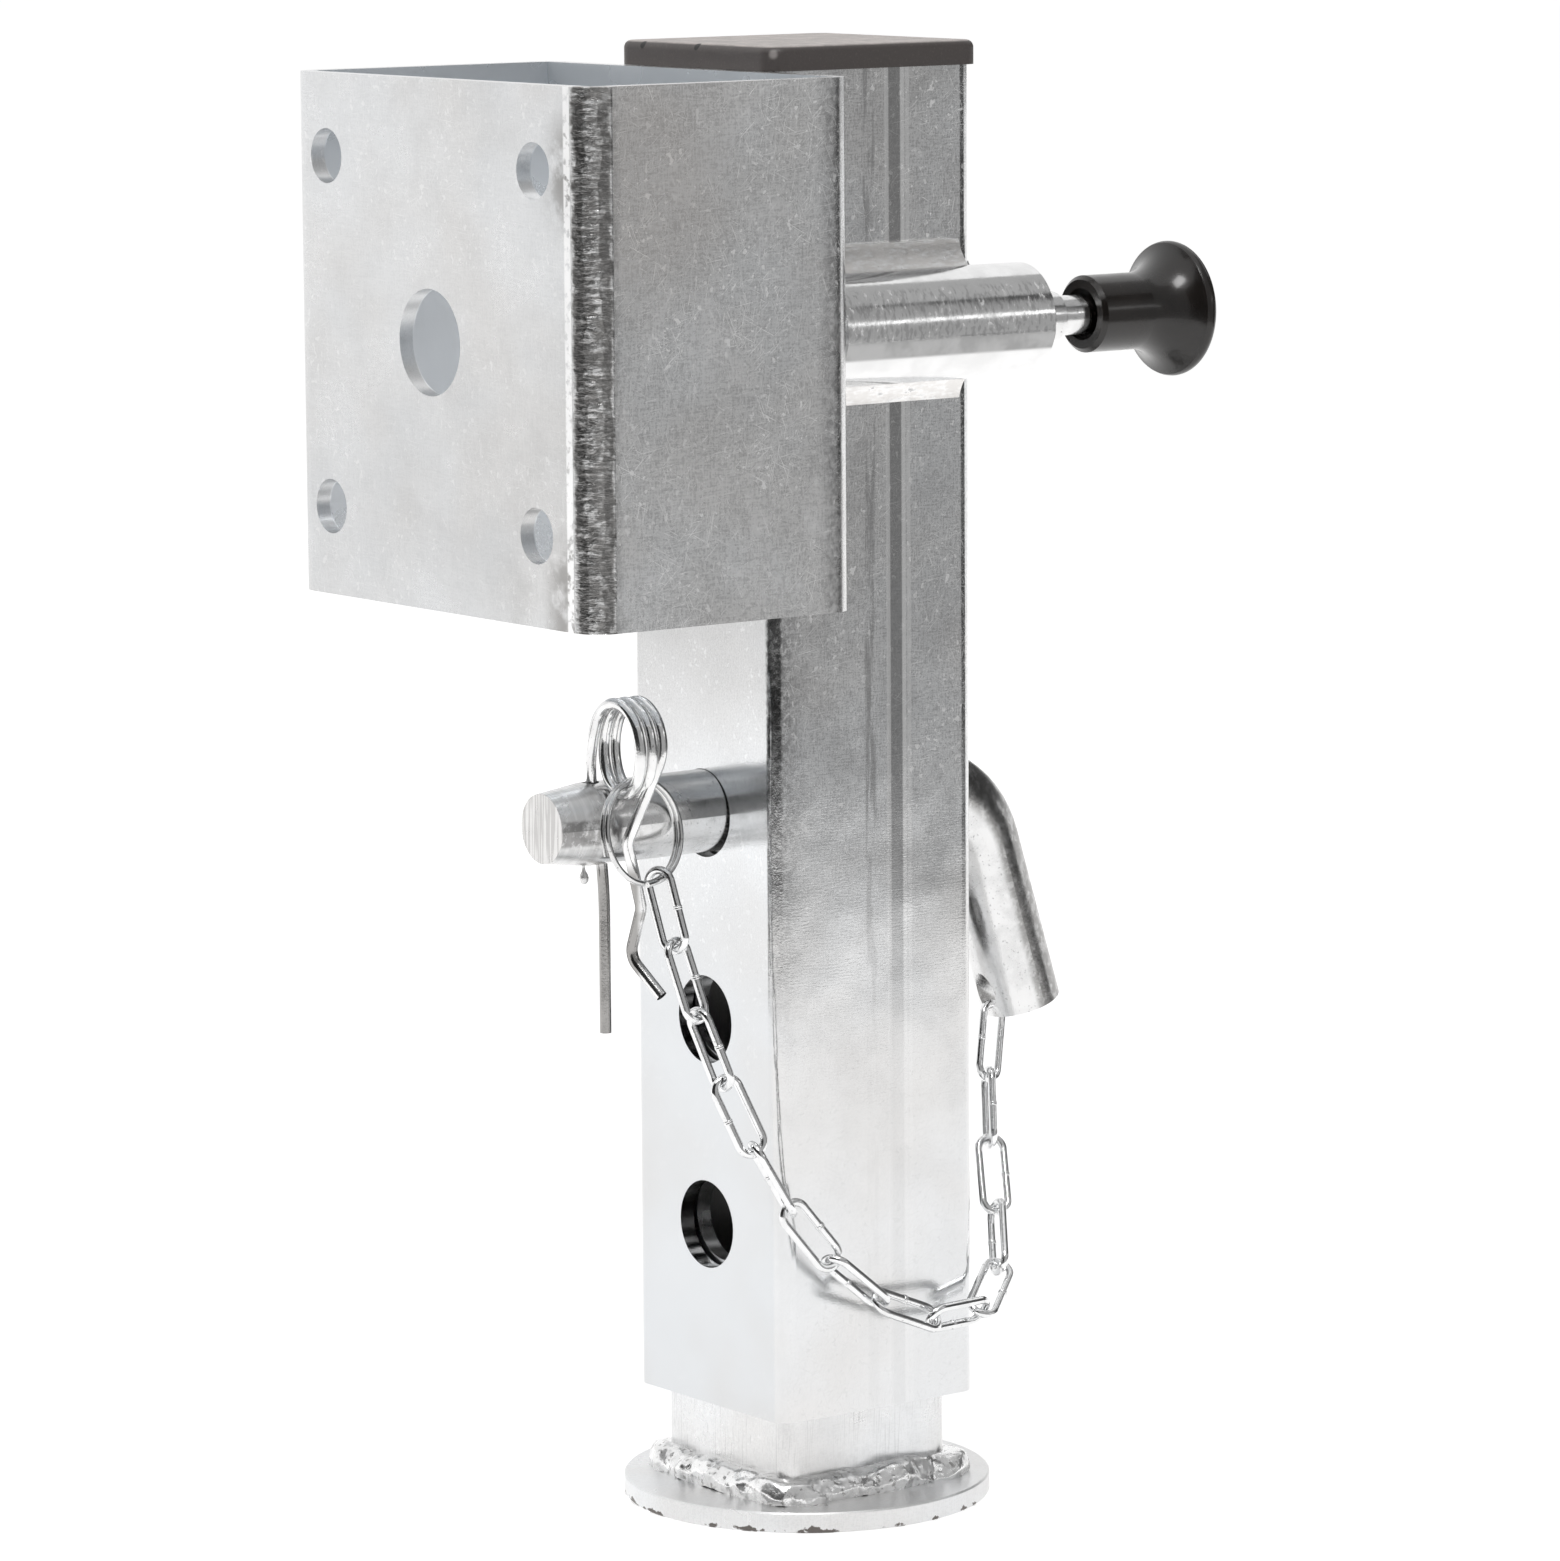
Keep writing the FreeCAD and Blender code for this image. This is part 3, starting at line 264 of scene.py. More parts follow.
def zinc_plate(name, tone, rough, wear, turns, paint):
    """Bright zinc on rolled steel: cloudy, finely woven, with short scratches that scatter light.

    Wear is the strength of the speckle and of the scratches, or a function that gives both.
    """
    make = Shader(name)
    speckle, scratch = wear(make) if callable(wear) else wear
    cloud = make.noise(24, 2.0, 0.5)
    color = make.mix(make.fade(cloud, 0.35, 0.65), grey(tone, 0.012), grey(tone * 0.94, -0.006))
    upright = make.noise(1.0, 2.0, 0.5, make.stretched((0, 0, 0), 300, 2600))
    level = make.noise(1.0, 2.0, 0.5, make.stretched(turns[-1], 300, 2600), shift=2.0)
    weave = make.product(make.math("ADD", upright, level), 0.3)
    grain = make.math("ADD", make.product(make.noise(1900, 2.0, 0.6), 0.4), weave)
    dull = make.fade(grain, 0.54, 0.42)
    color = make.mix(make.product(dull, speckle), color, grey(tone * 0.45))
    dots = make.fade(make.noise(620, 1.0, 0.5, shift=3.0), 0.675, 0.700)
    long_lines = make.scratches(turns[:5], 0.0080, 0.00024, 0.690)
    short_lines = make.product(make.scratches(turns[:3], 0.0024, 0.00022, 0.640), 0.45)
    dense = make.fade(make.noise(45, 2.0, 0.5, shift=5.0), 0.35, 0.60, 0.45, 1.0)
    marks = make.product(make.most(dots, long_lines, short_lines), dense, scratch)
    color = make.mix(marks, color, grey(0.97))
    shine = make.fade(make.noise(60, 3.0, 0.6, shift=7.0), 0.3, 0.7, rough - 0.04, rough + 0.05)
    uneven = make.bump(make.noise(35, 2.0, 0.5, shift=1.0), 0.0012, 0.25)
    normal = make.bump(grain, 0.00008, 0.35, uneven)
    sideways = make.fade(make.math("ABSOLUTE", make.facing("Y")), 0.45, 0.60, 1.0, 0.0)
    make.metal = make.rest(make.product(marks, sideways))
    color = paint(make, color)
    return make.finish(color, shine, normal)


def light_inside(make, color):
    """Cleaner, bluish zinc on the inner faces of the bracket."""
    wide = make.beyond("X", BRACKET_MIDDLE[0], BRACKET_INNER_HALF[0])
    deep = make.beyond("Y", BRACKET_MIDDLE[1], BRACKET_INNER_HALF[1])
    inside = make.fade(make.most(wide, deep), 0.0001, 0.0005, 1.0, 0.0)
    make.metal = make.math("SUBTRACT", make.metal, make.product(inside, 0.55))
    height = make.fade(make.axis("Z"), 0.318, 0.345)
    tone = make.mix(height, (0.95, 0.97, 0.99, 1), (0.66, 0.69, 0.72, 1))
    return make.mix(inside, color, tone)


def front_plate_marks(make, color):
    """Grey weld smoke beside the front corner, near its top and its foot, and a painted highlight strip beside the
    corner bead.
    """
    x = make.axis("X")
    low = make.fade(make.axis("Z"), 0.235, 0.320, 0.86, 1.0)
    color = make.mix(low, grey(0.0), color)
    side = make.fade(x, 0.043, 0.053)
    ragged = make.fade(make.noise(110, 4.0, 0.65, shift=4.0), 0.30, 0.52)
    top = make.spot((0.058, BRACKET_FRONT, 0.330), 0.004, 0.014)
    foot = make.spot((0.056, BRACKET_FRONT, 0.231), 0.007, 0.015)
    smoke = make.product(make.math("ADD", top, foot), side, ragged)
    color = make.mix(make.product(smoke, 0.80), color, grey(0.30, -0.03))
    # Painted highlight: a broken white strip on the plate beside the corner bead
    highlight_strip = make.between(x, 0.0548, 0.0575, 0.0006)
    broken = make.fade(make.noise(420, 3.0, 0.6, shift=2.0), 0.36, 0.52)
    color = make.mix(make.product(highlight_strip, broken), color, grey(0.98))
    return light_inside(make, color)


def rear_plate_marks(make, color):
    """A warm stain high on the right side, darker toes along the weld, and painted shade along the rounded bend.
    """
    y = make.axis("Y")
    stain = make.spot((0.064, -0.092, 0.325), 0.010, 0.026)
    color = make.mix(make.product(stain, 0.30), color, (0.62, 0.555, 0.50, 1))
    toe = make.fade(y, -0.1005, -0.098, 1.0, 0.0)
    ragged = make.fade(make.noise(300, 4.0, 0.7), 0.35, 0.6)
    color = make.mix(make.product(toe, ragged, 0.5), color, grey(0.35))
    # Painted shade: a dark reflection band down the rounded bend
    fold = make.product(make.fade(y, -0.0440, -0.0385), make.fade(y, -0.0368, -0.0360, 1.0, 0.0))
    ragged_fold_shade = make.fade(make.noise(420, 4.0, 0.7, shift=3.0), 0.30, 0.62, 0.85, 0.25)
    color = make.mix(make.product(fold, ragged_fold_shade), color, grey(0.26))
    return light_inside(make, color)


def leg_wear(make):
    """Strong speckle and scratches high on the tube's sides, little on its front and near its foot."""
    z = make.axis("Z")
    front = make.fade(make.axis("Y"), -LEG_FACE, -LEG_FACE + 0.0004, 0.35, 1.0)
    speckle = make.product(make.fade(z, 0.10, 0.20, 0.04, 0.52), front)
    return speckle, make.fade(z, 0.09, 0.18, 0.12, 0.75)


def leg_corner_shade(make, color):
    """Painted shade along the rolled corner at the tube's front right, fading out near its foot."""
    across = make.across()
    streaks = make.fade(make.noise(700, 3.0, 0.6, shift=9.0), 0.40, 0.60, 1.0, 0.2)
    core = make.between(across, -0.0084, -0.0050, 0.0006)
    fringe = make.product(make.fade(across, -0.0052, 0.0015, 0.75, 0.0), make.fade(across, -0.0090, -0.0084))
    high = make.fade(make.axis("Z"), 0.105, 0.205, 0.0, 0.85)
    # Painted shade: the dark band on the rolled corner
    corner = make.product(make.most(core, fringe), streaks, high)
    return make.mix(corner, color, grey(0.20))


def leg_seam(make, color):
    """The tube's weld seam down its right face, with a worn track and painted highlight lines beside it."""
    y = make.axis("Y")
    right_face = make.fade(make.axis("X"), LEG_FACE - 0.0010, LEG_FACE - 0.0004)
    high = make.fade(make.axis("Z"), 0.10, 0.19, 0.10, 1.0)
    seam = make.product(make.between(y, 0.0036, 0.0072, 0.0009), right_face, high)
    color = make.mix(make.product(seam, 0.70), color, grey(0.24))
    rolled = make.noise(1.0, 4.0, 0.65, make.stretched((0, 0, 0), 40, 500))
    track = make.product(make.between(y, -0.0034, -0.0008, 0.0008), make.fade(rolled, 0.42, 0.58, 0.65, 0.0))
    mottled = make.product(make.fade(make.noise(75, 5.0, 0.65, shift=6.0), 0.44, 0.68), 0.26)
    color = make.mix(make.product(make.most(track, mottled), right_face, high), color, grey(0.34))
    # Painted highlights: light lines beside the seam
    for place, strength in SEAM_HIGHLIGHTS:
        highlight_line = make.between(y, place - 0.0004, place + 0.0004, 0.0004)
        color = make.mix(make.product(highlight_line, right_face, high, strength), color, grey(0.96))
    return color


def leg_marks(make, color):
    """Painted shade on the foot, the front face, the rolled corner and inside the bore, and the seam with its
    marks.
    """
    z = make.axis("Z")
    # Painted shade: the tube darker towards its foot
    color = make.mix(make.fade(z, 0.125, 0.190, 0.11, 0.0), color, grey(0.0))
    # Painted shade: the front face darker higher up
    front_face = make.fade(make.axis("Y"), -LEG_FACE, -LEG_FACE + 0.0004, 1.0, 0.0)
    tone = make.mix(make.fade(z, 0.165, 0.225), grey(0.93, 0.012), grey(0.67, 0.004))
    color = make.mix(front_face, color, tone, "MULTIPLY")
    color = leg_seam(make, leg_corner_shade(make, color))
    return bore_shade(make, color, OUTER_BORE_HALF)


def bore_shade(make, color, half):
    """Painted shade inside a square tube's bore."""
    # Painted shade: everything inside the bore is made dark
    far = make.most(make.math("ABSOLUTE", make.axis("X")), make.math("ABSOLUTE", make.axis("Y")))
    inside = make.fade(far, half - 0.0004, half, 1.0, 0.0)
    return make.mix(inside, color, (0.030, 0.027, 0.025, 1))


def inner_marks(make, color):
    """Scuffs where the inner tube slides, and painted shade inside its bore."""
    scuff = make.scratches(((0, 0, 0), (4, 0, 0)), 0.02, 0.0004, 0.66)
    color = make.mix(make.product(scuff, 0.3), color, grey(0.45))
    return bore_shade(make, color, INNER_BORE_HALF)


def disc_marks(make, color):
    """Chips in the zinc along the disc's rim, most of them at its lower edge."""
    make.metal = make.product(make.metal, 0.65)
    flat = make.add("ShaderNodeVectorMath", {0: make.place, 1: (1, 1, 0)}, operation="MULTIPLY").outputs[0]
    radius = make.add("ShaderNodeVectorMath", {0: flat}, operation="LENGTH").outputs["Value"]
    rim = make.fade(radius, 0.0440, 0.0447)
    low = make.fade(make.axis("Z"), 0.0004, 0.0022, 0.16, 0.0)
    chips = make.math("ADD", make.noise(150, 4.0, 0.6), low)
    bare = make.product(make.fade(chips, 0.70, 0.73), rim)
    return make.mix(bare, color, (0.16, 0.145, 0.135, 1))


def weld_metal(name, dark, light, size, rough, relief, paint=None):
    """Rough weld metal under zinc: dark hollows, bright crests and fine cross ripples."""
    make = Shader(name)
    lumps = make.noise(size, 5.0, 0.65)
    ripples = make.noise(1.0, 3.0, 0.6, make.stretched((0, 0, 0), 1100, 330))
    crest = make.math("ADD", make.product(lumps, 0.45), make.product(ripples, 0.55))
    color = make.mix(make.fade(crest, 0.45, 0.62), grey(dark, -0.02), grey(light))
    glint = make.fade(crest, 0.565, 0.610, 0.0, 0.75)
    color = make.mix(glint, color, grey(0.93))
    make.metal = make.rest(glint)
    if paint:
        color = paint(make, color)
    normal = make.bump(lumps, 0.0005, relief)
    normal = make.bump(ripples, 0.0004, relief, normal)
    return make.finish(color, make.fade(lumps, 0.3, 0.7, rough + 0.1, rough - 0.08), normal)


def corner_columns(make, color):
    """Painted shade: dark columns down both sides of the corner bead, lighter grey beyond them, and the bead's
    whiter top end where the columns stop.
    """
    waver = make.fade(make.noise(160, 3.0, 0.6, shift=6.0), 0.3, 0.7, -0.0006, 0.0006)
    across = make.math("ADD", make.across(), waver)
    # Painted shade: the bead's two dark columns beside its lighter middle
    left = make.between(across, -0.0506, -0.0490, 0.0005)
    right = make.between(across, -0.0447, -0.0430, 0.0005)
    below_top = make.fade(make.axis("Z"), 0.345, 0.348, 1.0, 0.0)
    streaks = make.fade(make.noise(500, 3.0, 0.6, shift=8.0), 0.42, 0.62, 0.92, 0.35)
    shade_columns = make.product(make.most(left, right), below_top, streaks)
    outside = make.most(make.fade(across, -0.0518, -0.0508, 1.0, 0.0), make.fade(across, -0.0427, -0.0420))
    make.metal = make.most(make.metal, shade_columns, outside)
    return make.mix(shade_columns, make.mix(outside, color, grey(0.80)), grey(0.17, -0.02))


def foot_bead_metal():
    """Glossy zinc over smooth weld lumps, grey along their hollows."""
    make = Shader("foot_weld_metal")
    lumps = make.noise(240, 3.0, 0.55)
    veins = make.noise(520, 3.0, 0.6, shift=2.0)
    color = make.mix(make.fade(lumps, 0.48, 0.34), grey(0.98), grey(0.72))
    color = make.mix(make.fade(veins, 0.40, 0.33, 0.0, 0.8), color, grey(0.36, -0.02))
    white = make.fade(make.noise(130, 2.0, 0.5, shift=5.0), 0.44, 0.60, 0.10, 0.45)
    make.metal = make.rest(white)
    normal = make.bump(lumps, 0.0006, 0.5)
    normal = make.bump(veins, 0.0002, 0.5, normal)
    return make.finish(color, make.fade(veins, 0.3, 0.7, 0.24, 0.12), normal)


def bright_metal(name, tone, rough, blue=0.0, paint=None):
    """Smooth plated steel: a light polish with faint rubbing and tiny pits."""
    make = Shader(name)
    cloud = make.noise(180, 3.0, 0.6)
    color = make.mix(make.fade(cloud, 0.35, 0.65), grey(tone, blue), grey(tone * 0.9, blue))
    rubbed = make.noise(1400, 2.0, 0.6, shift=2.0)
    color = make.mix(make.fade(rubbed, 0.36, 0.30), color, grey(tone * 0.55))
    if paint:
        color = paint(make, color)
    shine = make.fade(cloud, 0.3, 0.7, rough - 0.04, rough + 0.06)
    return make.finish(color, shine, make.bump(rubbed, 0.00003, 0.6))


def housing_plate():
    """Glossy zinc over a turned tube, with raised crystals along its upper side and a painted dark reflection band
    below them.
    """
    make = Shader("housing_zinc")
    height = make.axis("Z")
    cloud = make.noise(120, 3.0, 0.6)
    worms = make.noise(1.0, 2.0, 0.5, make.stretched((0, 25, 0), 420, 900))
    upper = make.between(height, 0.2885, 0.2985, 0.0015)
    ridge = make.between(height, 0.2905, 0.2925, 0.0008)
    patches = make.fade(make.noise(160, 2.0, 0.5, shift=4.0), 0.42, 0.60, 0.10, 1.0)
    crystals = make.product(make.fade(worms, 0.615, 0.655), upper, make.most(patches, ridge))
    pits = make.product(make.fade(worms, 0.50, 0.36), upper, 0.45)
    # Painted reflection: a dark band along the housing below the crystals
    band = make.product(make.between(height, 0.2840, 0.2875, 0.0010), make.fade(cloud, 0.35, 0.65, 0.85, 0.65))
    color = make.mix(make.fade(cloud, 0.35, 0.65), grey(0.86), grey(0.78))
    color = make.mix(pits, color, grey(0.42))
    color = make.mix(band, color, grey(0.22))
    color = make.mix(crystals, color, grey(0.95))
    make.metal = make.rest(make.product(crystals, 0.8))
    return make.finish(color, make.fade(cloud, 0.3, 0.7, 0.11, 0.19), make.bump(worms, 0.00006, 0.4))


def nose_marks(make, color, skin):
    """A light turned nose with a painted dark reflection band round its waist, a sawn end face and duller zinc
    behind the nose.
    """
    y = make.axis("Y")
    nose = make.fade(y, -0.0655, -0.0640, 1.0, 0.0)
    turning = make.fade(make.noise(1.0, 1.0, 0.5, make.stretched((90, 0, 0), 1800, 60)), 0.40, 0.60)
    color = make.mix(nose, color, grey(0.95))
    color = make.mix(make.product(nose, turning, 0.30), color, grey(0.55))
    # Painted reflection: a dark band round the nose's waist, broken by the skin noise
    waist_reflection = make.between(make.axis("Z"), 0.1688, 0.1738, 0.0012)
    color = make.mix(make.product(nose, waist_reflection, skin, 0.75), color, grey(0.25, -0.02))
    end = make.fade(y, -0.0774, -0.0772, 1.0, 0.0)
    saw = make.fade(make.noise(1.0, 1.0, 0.5, make.stretched((0, 0, 8), 60, 1300)), 0.44, 0.54, 0.0, 0.60)
    color = make.mix(end, color, grey(0.90, -0.01))
    color = make.mix(make.product(end, saw), color, grey(0.50, -0.02))
    make.metal = make.rest(make.product(nose, 0.5))
    dull = make.between(y, -0.067, -0.056, 0.003)
    return make.mix(make.product(dull, skin, 0.4), color, grey(0.45, -0.02))


def pin_marks(make, color):
    """The marks on the pin's nose and a painted dark reflection band, speckled, down the outside of its handle."""
    skin = make.fade(make.noise(420, 4.0, 0.7, shift=1.0), 0.36, 0.56)
    color = nose_marks(make, color, skin)
    outward = make.add("ShaderNodeVectorMath", {0: make.normal(), 1: (0.15, 0.94, 0.30)},
                       operation="DOT_PRODUCT").outputs["Value"]
    handle = make.fade(make.axis("Y"), 0.034, 0.040)
    # Painted reflection: the handle's outward side darkened, speckled by the skin noise
    band = make.product(make.fade(outward, -0.12, 0.10), handle, make.fade(skin, 0, 1, 0.45, 0.85))
    return make.mix(band, color, grey(0.28, -0.02))


def clip_marks(make, color):
    """Dark bands at the clip arm's bends, and a darker straight leg."""
    z = make.axis("Z")
    arm = make.fade(make.across(), -0.0400, -0.0385)
    for place in CLIP_BENDS:
        band = make.product(make.between(z, place - 0.0007, place + 0.0007, 0.0009), arm)
        color = make.mix(make.product(band, 0.6), color, grey(0.35, -0.03))
    straight = make.product(make.rest(arm), make.fade(z, 0.160, 0.164, 1.0, 0.0))
    return make.mix(make.product(straight, 0.9), color, grey(0.30, -0.03))


def knob_plastic():
    """Black plastic with a faint grain under a thin gloss."""
    make = Shader("knob_plastic")
    make.metal = 0.0
    grain = make.noise(2600, 2.0, 0.5)
    haze = make.fade(make.noise(90, 3.0, 0.6), 0.35, 0.65)
    color = make.mix(haze, (0.009, 0.007, 0.006, 1), (0.017, 0.013, 0.011, 1))
    shine = make.fade(make.noise(130, 3.0, 0.6, shift=2.0), 0.3, 0.7, 0.18, 0.28)
    return make.finish(color, shine, make.bump(grain, 0.00004, 0.35), Coat_Weight=0.20, Coat_Roughness=0.08)


def cap_plastic():
    """Matte black plastic, brown on top with dust and painted sheen, with a few nicks in its upper edge and a
    painted highlight on one corner.
    """
    make = Shader("cap_plastic")
    make.metal = 0.0
    dust_and_sheen = make.fade(make.noise(240, 5.0, 0.65), 0.30, 0.68, 0.50, 1.0)
    up = make.fade(make.facing("Z"), 0.75, 0.98)
    # Dust and painted sheen: faces that look up are mixed towards a light brown
    color = make.mix(make.product(dust_and_sheen, up), (0.090, 0.078, 0.074, 1), (0.62, 0.56, 0.53, 1))
    fine = make.noise(1600, 3.0, 0.6)
    color = make.mix(make.product(make.fade(fine, 0.55, 0.70), 0.35), color, (0.17, 0.14, 0.13, 1))
    rubbed = make.scratches(((90, 20, 0), (90, -50, 0)), 0.006, 0.0004, 0.68)
    color = make.mix(make.product(rubbed, up, 0.4), color, (0.42, 0.37, 0.34, 1))
    for nick in CAP_NICKS:
        color = make.mix(make.spot(nick, 0.0008, 0.0005), color, (0.008, 0.007, 0.007, 1))
    # Painted highlight: a small light spot on the cap's front corner
    corner_highlight = make.product(make.spot(CAP_CORNER_HIGHLIGHT, 0.0004, 0.0011), 0.6)
    color = make.mix(corner_highlight, color, (0.55, 0.51, 0.49, 1))
    normal = make.bump(fine, 0.00008, 0.6)
    normal = make.bump(make.noise(220, 3.0, 0.6), 0.0002, 0.25, normal)
    return make.finish(color, make.fade(dust_and_sheen, 0, 1, 0.36, 0.48), normal)


def mesh_object(name, vertices, faces, material, body):
    """A smooth mesh that rides a body."""
    mesh = bpy.data.meshes.new(name)
    mesh.from_pydata([tuple(v) for v in vertices], [], faces)
    mesh.materials.append(material)
    mesh.polygons.foreach_set("use_smooth", [True] * len(mesh.polygons))
    mesh.update()
    thing = bpy.data.objects.new(name, mesh)
    bpy.context.scene.collection.objects.link(thing)
    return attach(thing, body)


def grid_faces(rows, columns, wrap_rows=False, wrap_columns=False):
    """Four-sided faces between the points of a grid, closed round where it wraps."""
    faces = []
    for row in range(rows if wrap_rows else rows - 1):
        for column in range(columns if wrap_columns else columns - 1):
            below = (row + 1) % rows
            beside = (column + 1) % columns
            faces.append((row * columns + column, row * columns + beside,
                          below * columns + beside, below * columns + column))
    return faces


def bead_outline(inward):
    """Points of a corner bead's plain outline, from one toe over the rounded crown to the other."""
    toe = 7.0 * MM
    crown = 6.4 * MM
    steps = 14
    outline = [(inward.x * toe, 0.0)]
    for step in range(steps + 1):
        angle = math.pi / 2 * step / steps
        outline.append((inward.x * crown * (1 - math.sin(angle)), inward.y * crown * (1 - math.cos(angle))))
    outline.append((0.0, inward.y * toe))
    return outline, inward * crown


def corner_bead(name, node, corner, inward, material):
    """A weld bead down a bracket corner, rippled and a little sunk between its toes."""
    low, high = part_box(node)
    plate = 4.0 * MM
    rows = 420
    outline, crown_centre = bead_outline(inward)
    centre = corner + crown_centre
    vertices = []
    for row in range(rows):
        height = low.z + (high.z - low.z) * row / (rows - 1)
        for index, (x, y) in enumerate(outline):
            place = Vector((corner.x + x, corner.y + y, height))
            share = math.sin(math.pi * index / (len(outline) - 1))
            lump = 0.5 + 0.5 * noise.noise(place * 330)
            ripple = 0.5 + 0.5 * noise.noise(Vector((place.x * 260, place.y * 260, place.z * 1300)))
            depth = (0.30 * lump + 0.28 * ripple) * MM * share
            inwards = (centre.to_3d() - Vector((place.x, place.y, 0))).normalized()
            vertices.append(place + inwards * depth)
        vertices.append(Vector((corner.x + inward.x * plate, corner.y + inward.y * plate, height)))
    columns = len(outline) + 1
    faces = grid_faces(rows, columns, wrap_columns=True)
    faces.append(tuple(range(columns)))
    faces.append(tuple(reversed(range((rows - 1) * columns, rows * columns))))
    bead = mesh_object(name, vertices, faces, material, "bracket")
    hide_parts(node)


def rounded_square(half, corner, steps):
    """Points and outward directions round a square with rounded corners, evenly spaced."""
    flat = half - corner
    side_length = 2 * flat + math.pi / 2 * corner
    points = []
    for step in range(steps):
        side, rest = divmod(4 * side_length * step / steps, side_length)
        if rest < 2 * flat:
            place = Vector((half, -flat + rest, 0))
            out = Vector((1, 0, 0))
        else:
            angle = (rest - 2 * flat) / corner
            out = Vector((math.cos(angle), math.sin(angle), 0))
            place = Vector((flat, flat, 0)) + out * corner
        turn = Matrix.Rotation(side * math.pi / 2, 3, "Z")
        points.append((turn @ place, turn @ out))
    return points


def foot_bead(material):
    """The lumpy bead between the inner tube and the foot disc."""
    around = 420
    across = 26
    sink = 0.3 * MM
    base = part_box("foot_weld")[0].z - sink
    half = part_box("inner_tube")[1].x - 0.4 * MM
    vertices = []
    for place, out in rounded_square(half, 4.0 * MM, around):
        swell = noise.noise(place * 70 + Vector((3.1, 0.4, 0)))
        reach = (7.6 + 1.9 * swell) * MM
        rise = (7.2 + 2.0 * noise.noise(place * 80 + Vector((0, 7.7, 0)))) * MM
        for step in range(across):
            angle = math.pi / 2 * step / (across - 1)
            bulge = 0.84 + 0.14 * math.sin(2 * angle)
            spot_out = reach * math.sin(angle) * bulge
            spot_up = rise * math.cos(angle) * bulge
            here = place + out * spot_out + Vector((0, 0, base + spot_up))
            lump = 1.5 * noise.noise(here * 150) + 0.45 * noise.noise(here * 420)
            push = lump * MM * math.sin(angle * 0.9 + 0.25)
            here = here + out * push * 0.8 + Vector((0, 0, max(push, -spot_up) * 0.9))
            vertices.append(Vector((here.x, here.y, max(here.z, base))))
    faces = grid_faces(around, across, wrap_rows=True)
    bead = mesh_object("foot_weld_bead", vertices, faces, material, "inner_leg")
    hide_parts("foot_weld")


def turned(name, profile, start, way, material, body):
    """A round piece: (distance along, radius) pairs in millimetres, turned about an axis."""
    way = way.normalized()
    side = way.orthogonal().normalized()
    third = way.cross(side)
    vertices = []
    for along, radius in profile:
        for step in range(ROUND_STEPS):
            angle = 2 * math.pi * step / ROUND_STEPS
            out = side * math.cos(angle) + third * math.sin(angle)
            vertices.append(start + way * along * MM + out * radius * MM)
    faces = grid_faces(len(profile), ROUND_STEPS, wrap_columns=True)
    return mesh_object(name, vertices, faces, material, body)


def link_axes(node):
    """Centre, long way, wide way and half width of a chain link, read from its vertices."""
    spots = np.array([v.co for v in nodes[node].data.vertices])
    centre = spots.mean(axis=0)
    spread = np.linalg.svd(spots - centre, full_matrices=False)[2]
    reach = np.abs((spots - centre) @ spread[1]).max()
    return Vector(centre), Vector(spread[0]), Vector(spread[1]), reach


def link_welds(material):
    """The small upset collar where each link's wire ends are welded."""
    wire_radius = 1.0 * MM
    profile = ((-0.50, 0.98), (-0.42, 1.13), (-0.16, 1.19), (-0.04, 1.06), (0.06, 1.07), (0.20, 1.18),
               (0.44, 1.12), (0.52, 0.98))
    for index in range(1, CHAIN_LINKS + 1):
        node = f"chain_link_{index:02d}"
        centre, long_way, wide_way, reach = link_axes(node)
        side = 1 if index % 3 else -1
        middle = centre + wide_way * (reach - wire_radius) * side
        collar = turned(f"{node}_weld", profile, middle, long_way, material, "chain")


def zinc_drip(material):
    """The drop of zinc that hangs under the pin's nose."""
    profile = ((0.0, 0.5), (0.9, 0.30), (1.8, 0.45), (2.6, 0.9), (3.5, 1.15), (4.3, 1.0), (4.9, 0.55), (5.1, 0.02))
    under_nose = Vector((0.0, -0.0655, 0.1626))
    drop = turned("pin_zinc_drip", profile, under_nose, Vector((0, 0.04, -1)), material, "pin")


def assign(material, *names):
    """Give CAD nodes a material."""
    for name in names:
        mesh = nodes[name].data
        mesh.materials.clear()
        mesh.materials.append(material)


def dress_plates():
    """Zinc for the bracket's plates, the tubes and the disc."""
    assign(zinc_plate("bracket_front_zinc", 0.78, 0.30, (0.10, 0.45), FRONT_TURNS, front_plate_marks),
           "bracket_front_plate")
    assign(zinc_plate("bracket_rear_zinc", 0.88, 0.25, (0.42, 0.75), SIDE_TURNS, rear_plate_marks),
           "bracket_rear_plate")
    assign(zinc_plate("leg_zinc", 0.84, 0.15, leg_wear, SIDE_TURNS, leg_marks), "outer_tube")
    assign(zinc_plate("inner_leg_zinc", 0.81, 0.30, (0.12, 0.30), SIDE_TURNS, inner_marks), "inner_tube")
    assign(zinc_plate("foot_disc_zinc", 0.93, 0.30, (0.12, 0.30), SIDE_TURNS, disc_marks), "foot_disc")


def dress_welds():
    """Weld metal for the seams, with the bracket's and the foot's beads built anew."""
    band = weld_metal("corner_weld_metal", 0.30, 0.72, 260, 0.38, 0.8, corner_columns)
    bead = foot_bead_metal()
    assign(band, "bracket_front_weld", "bracket_rear_weld")
    assign(bead, "foot_weld")
    assign(weld_metal("housing_weld_metal", 0.80, 0.98, 170, 0.34, 0.35), "housing_top_weld", "housing_lower_weld")
    corner_bead("bracket_front_bead", "bracket_front_weld", Vector((0.0640, BRACKET_FRONT)), Vector((-1, 1)), band)
    corner_bead("bracket_rear_bead", "bracket_rear_weld", Vector((-0.0580, -0.0315)), Vector((1, -1)), band)
    foot_bead(bead)


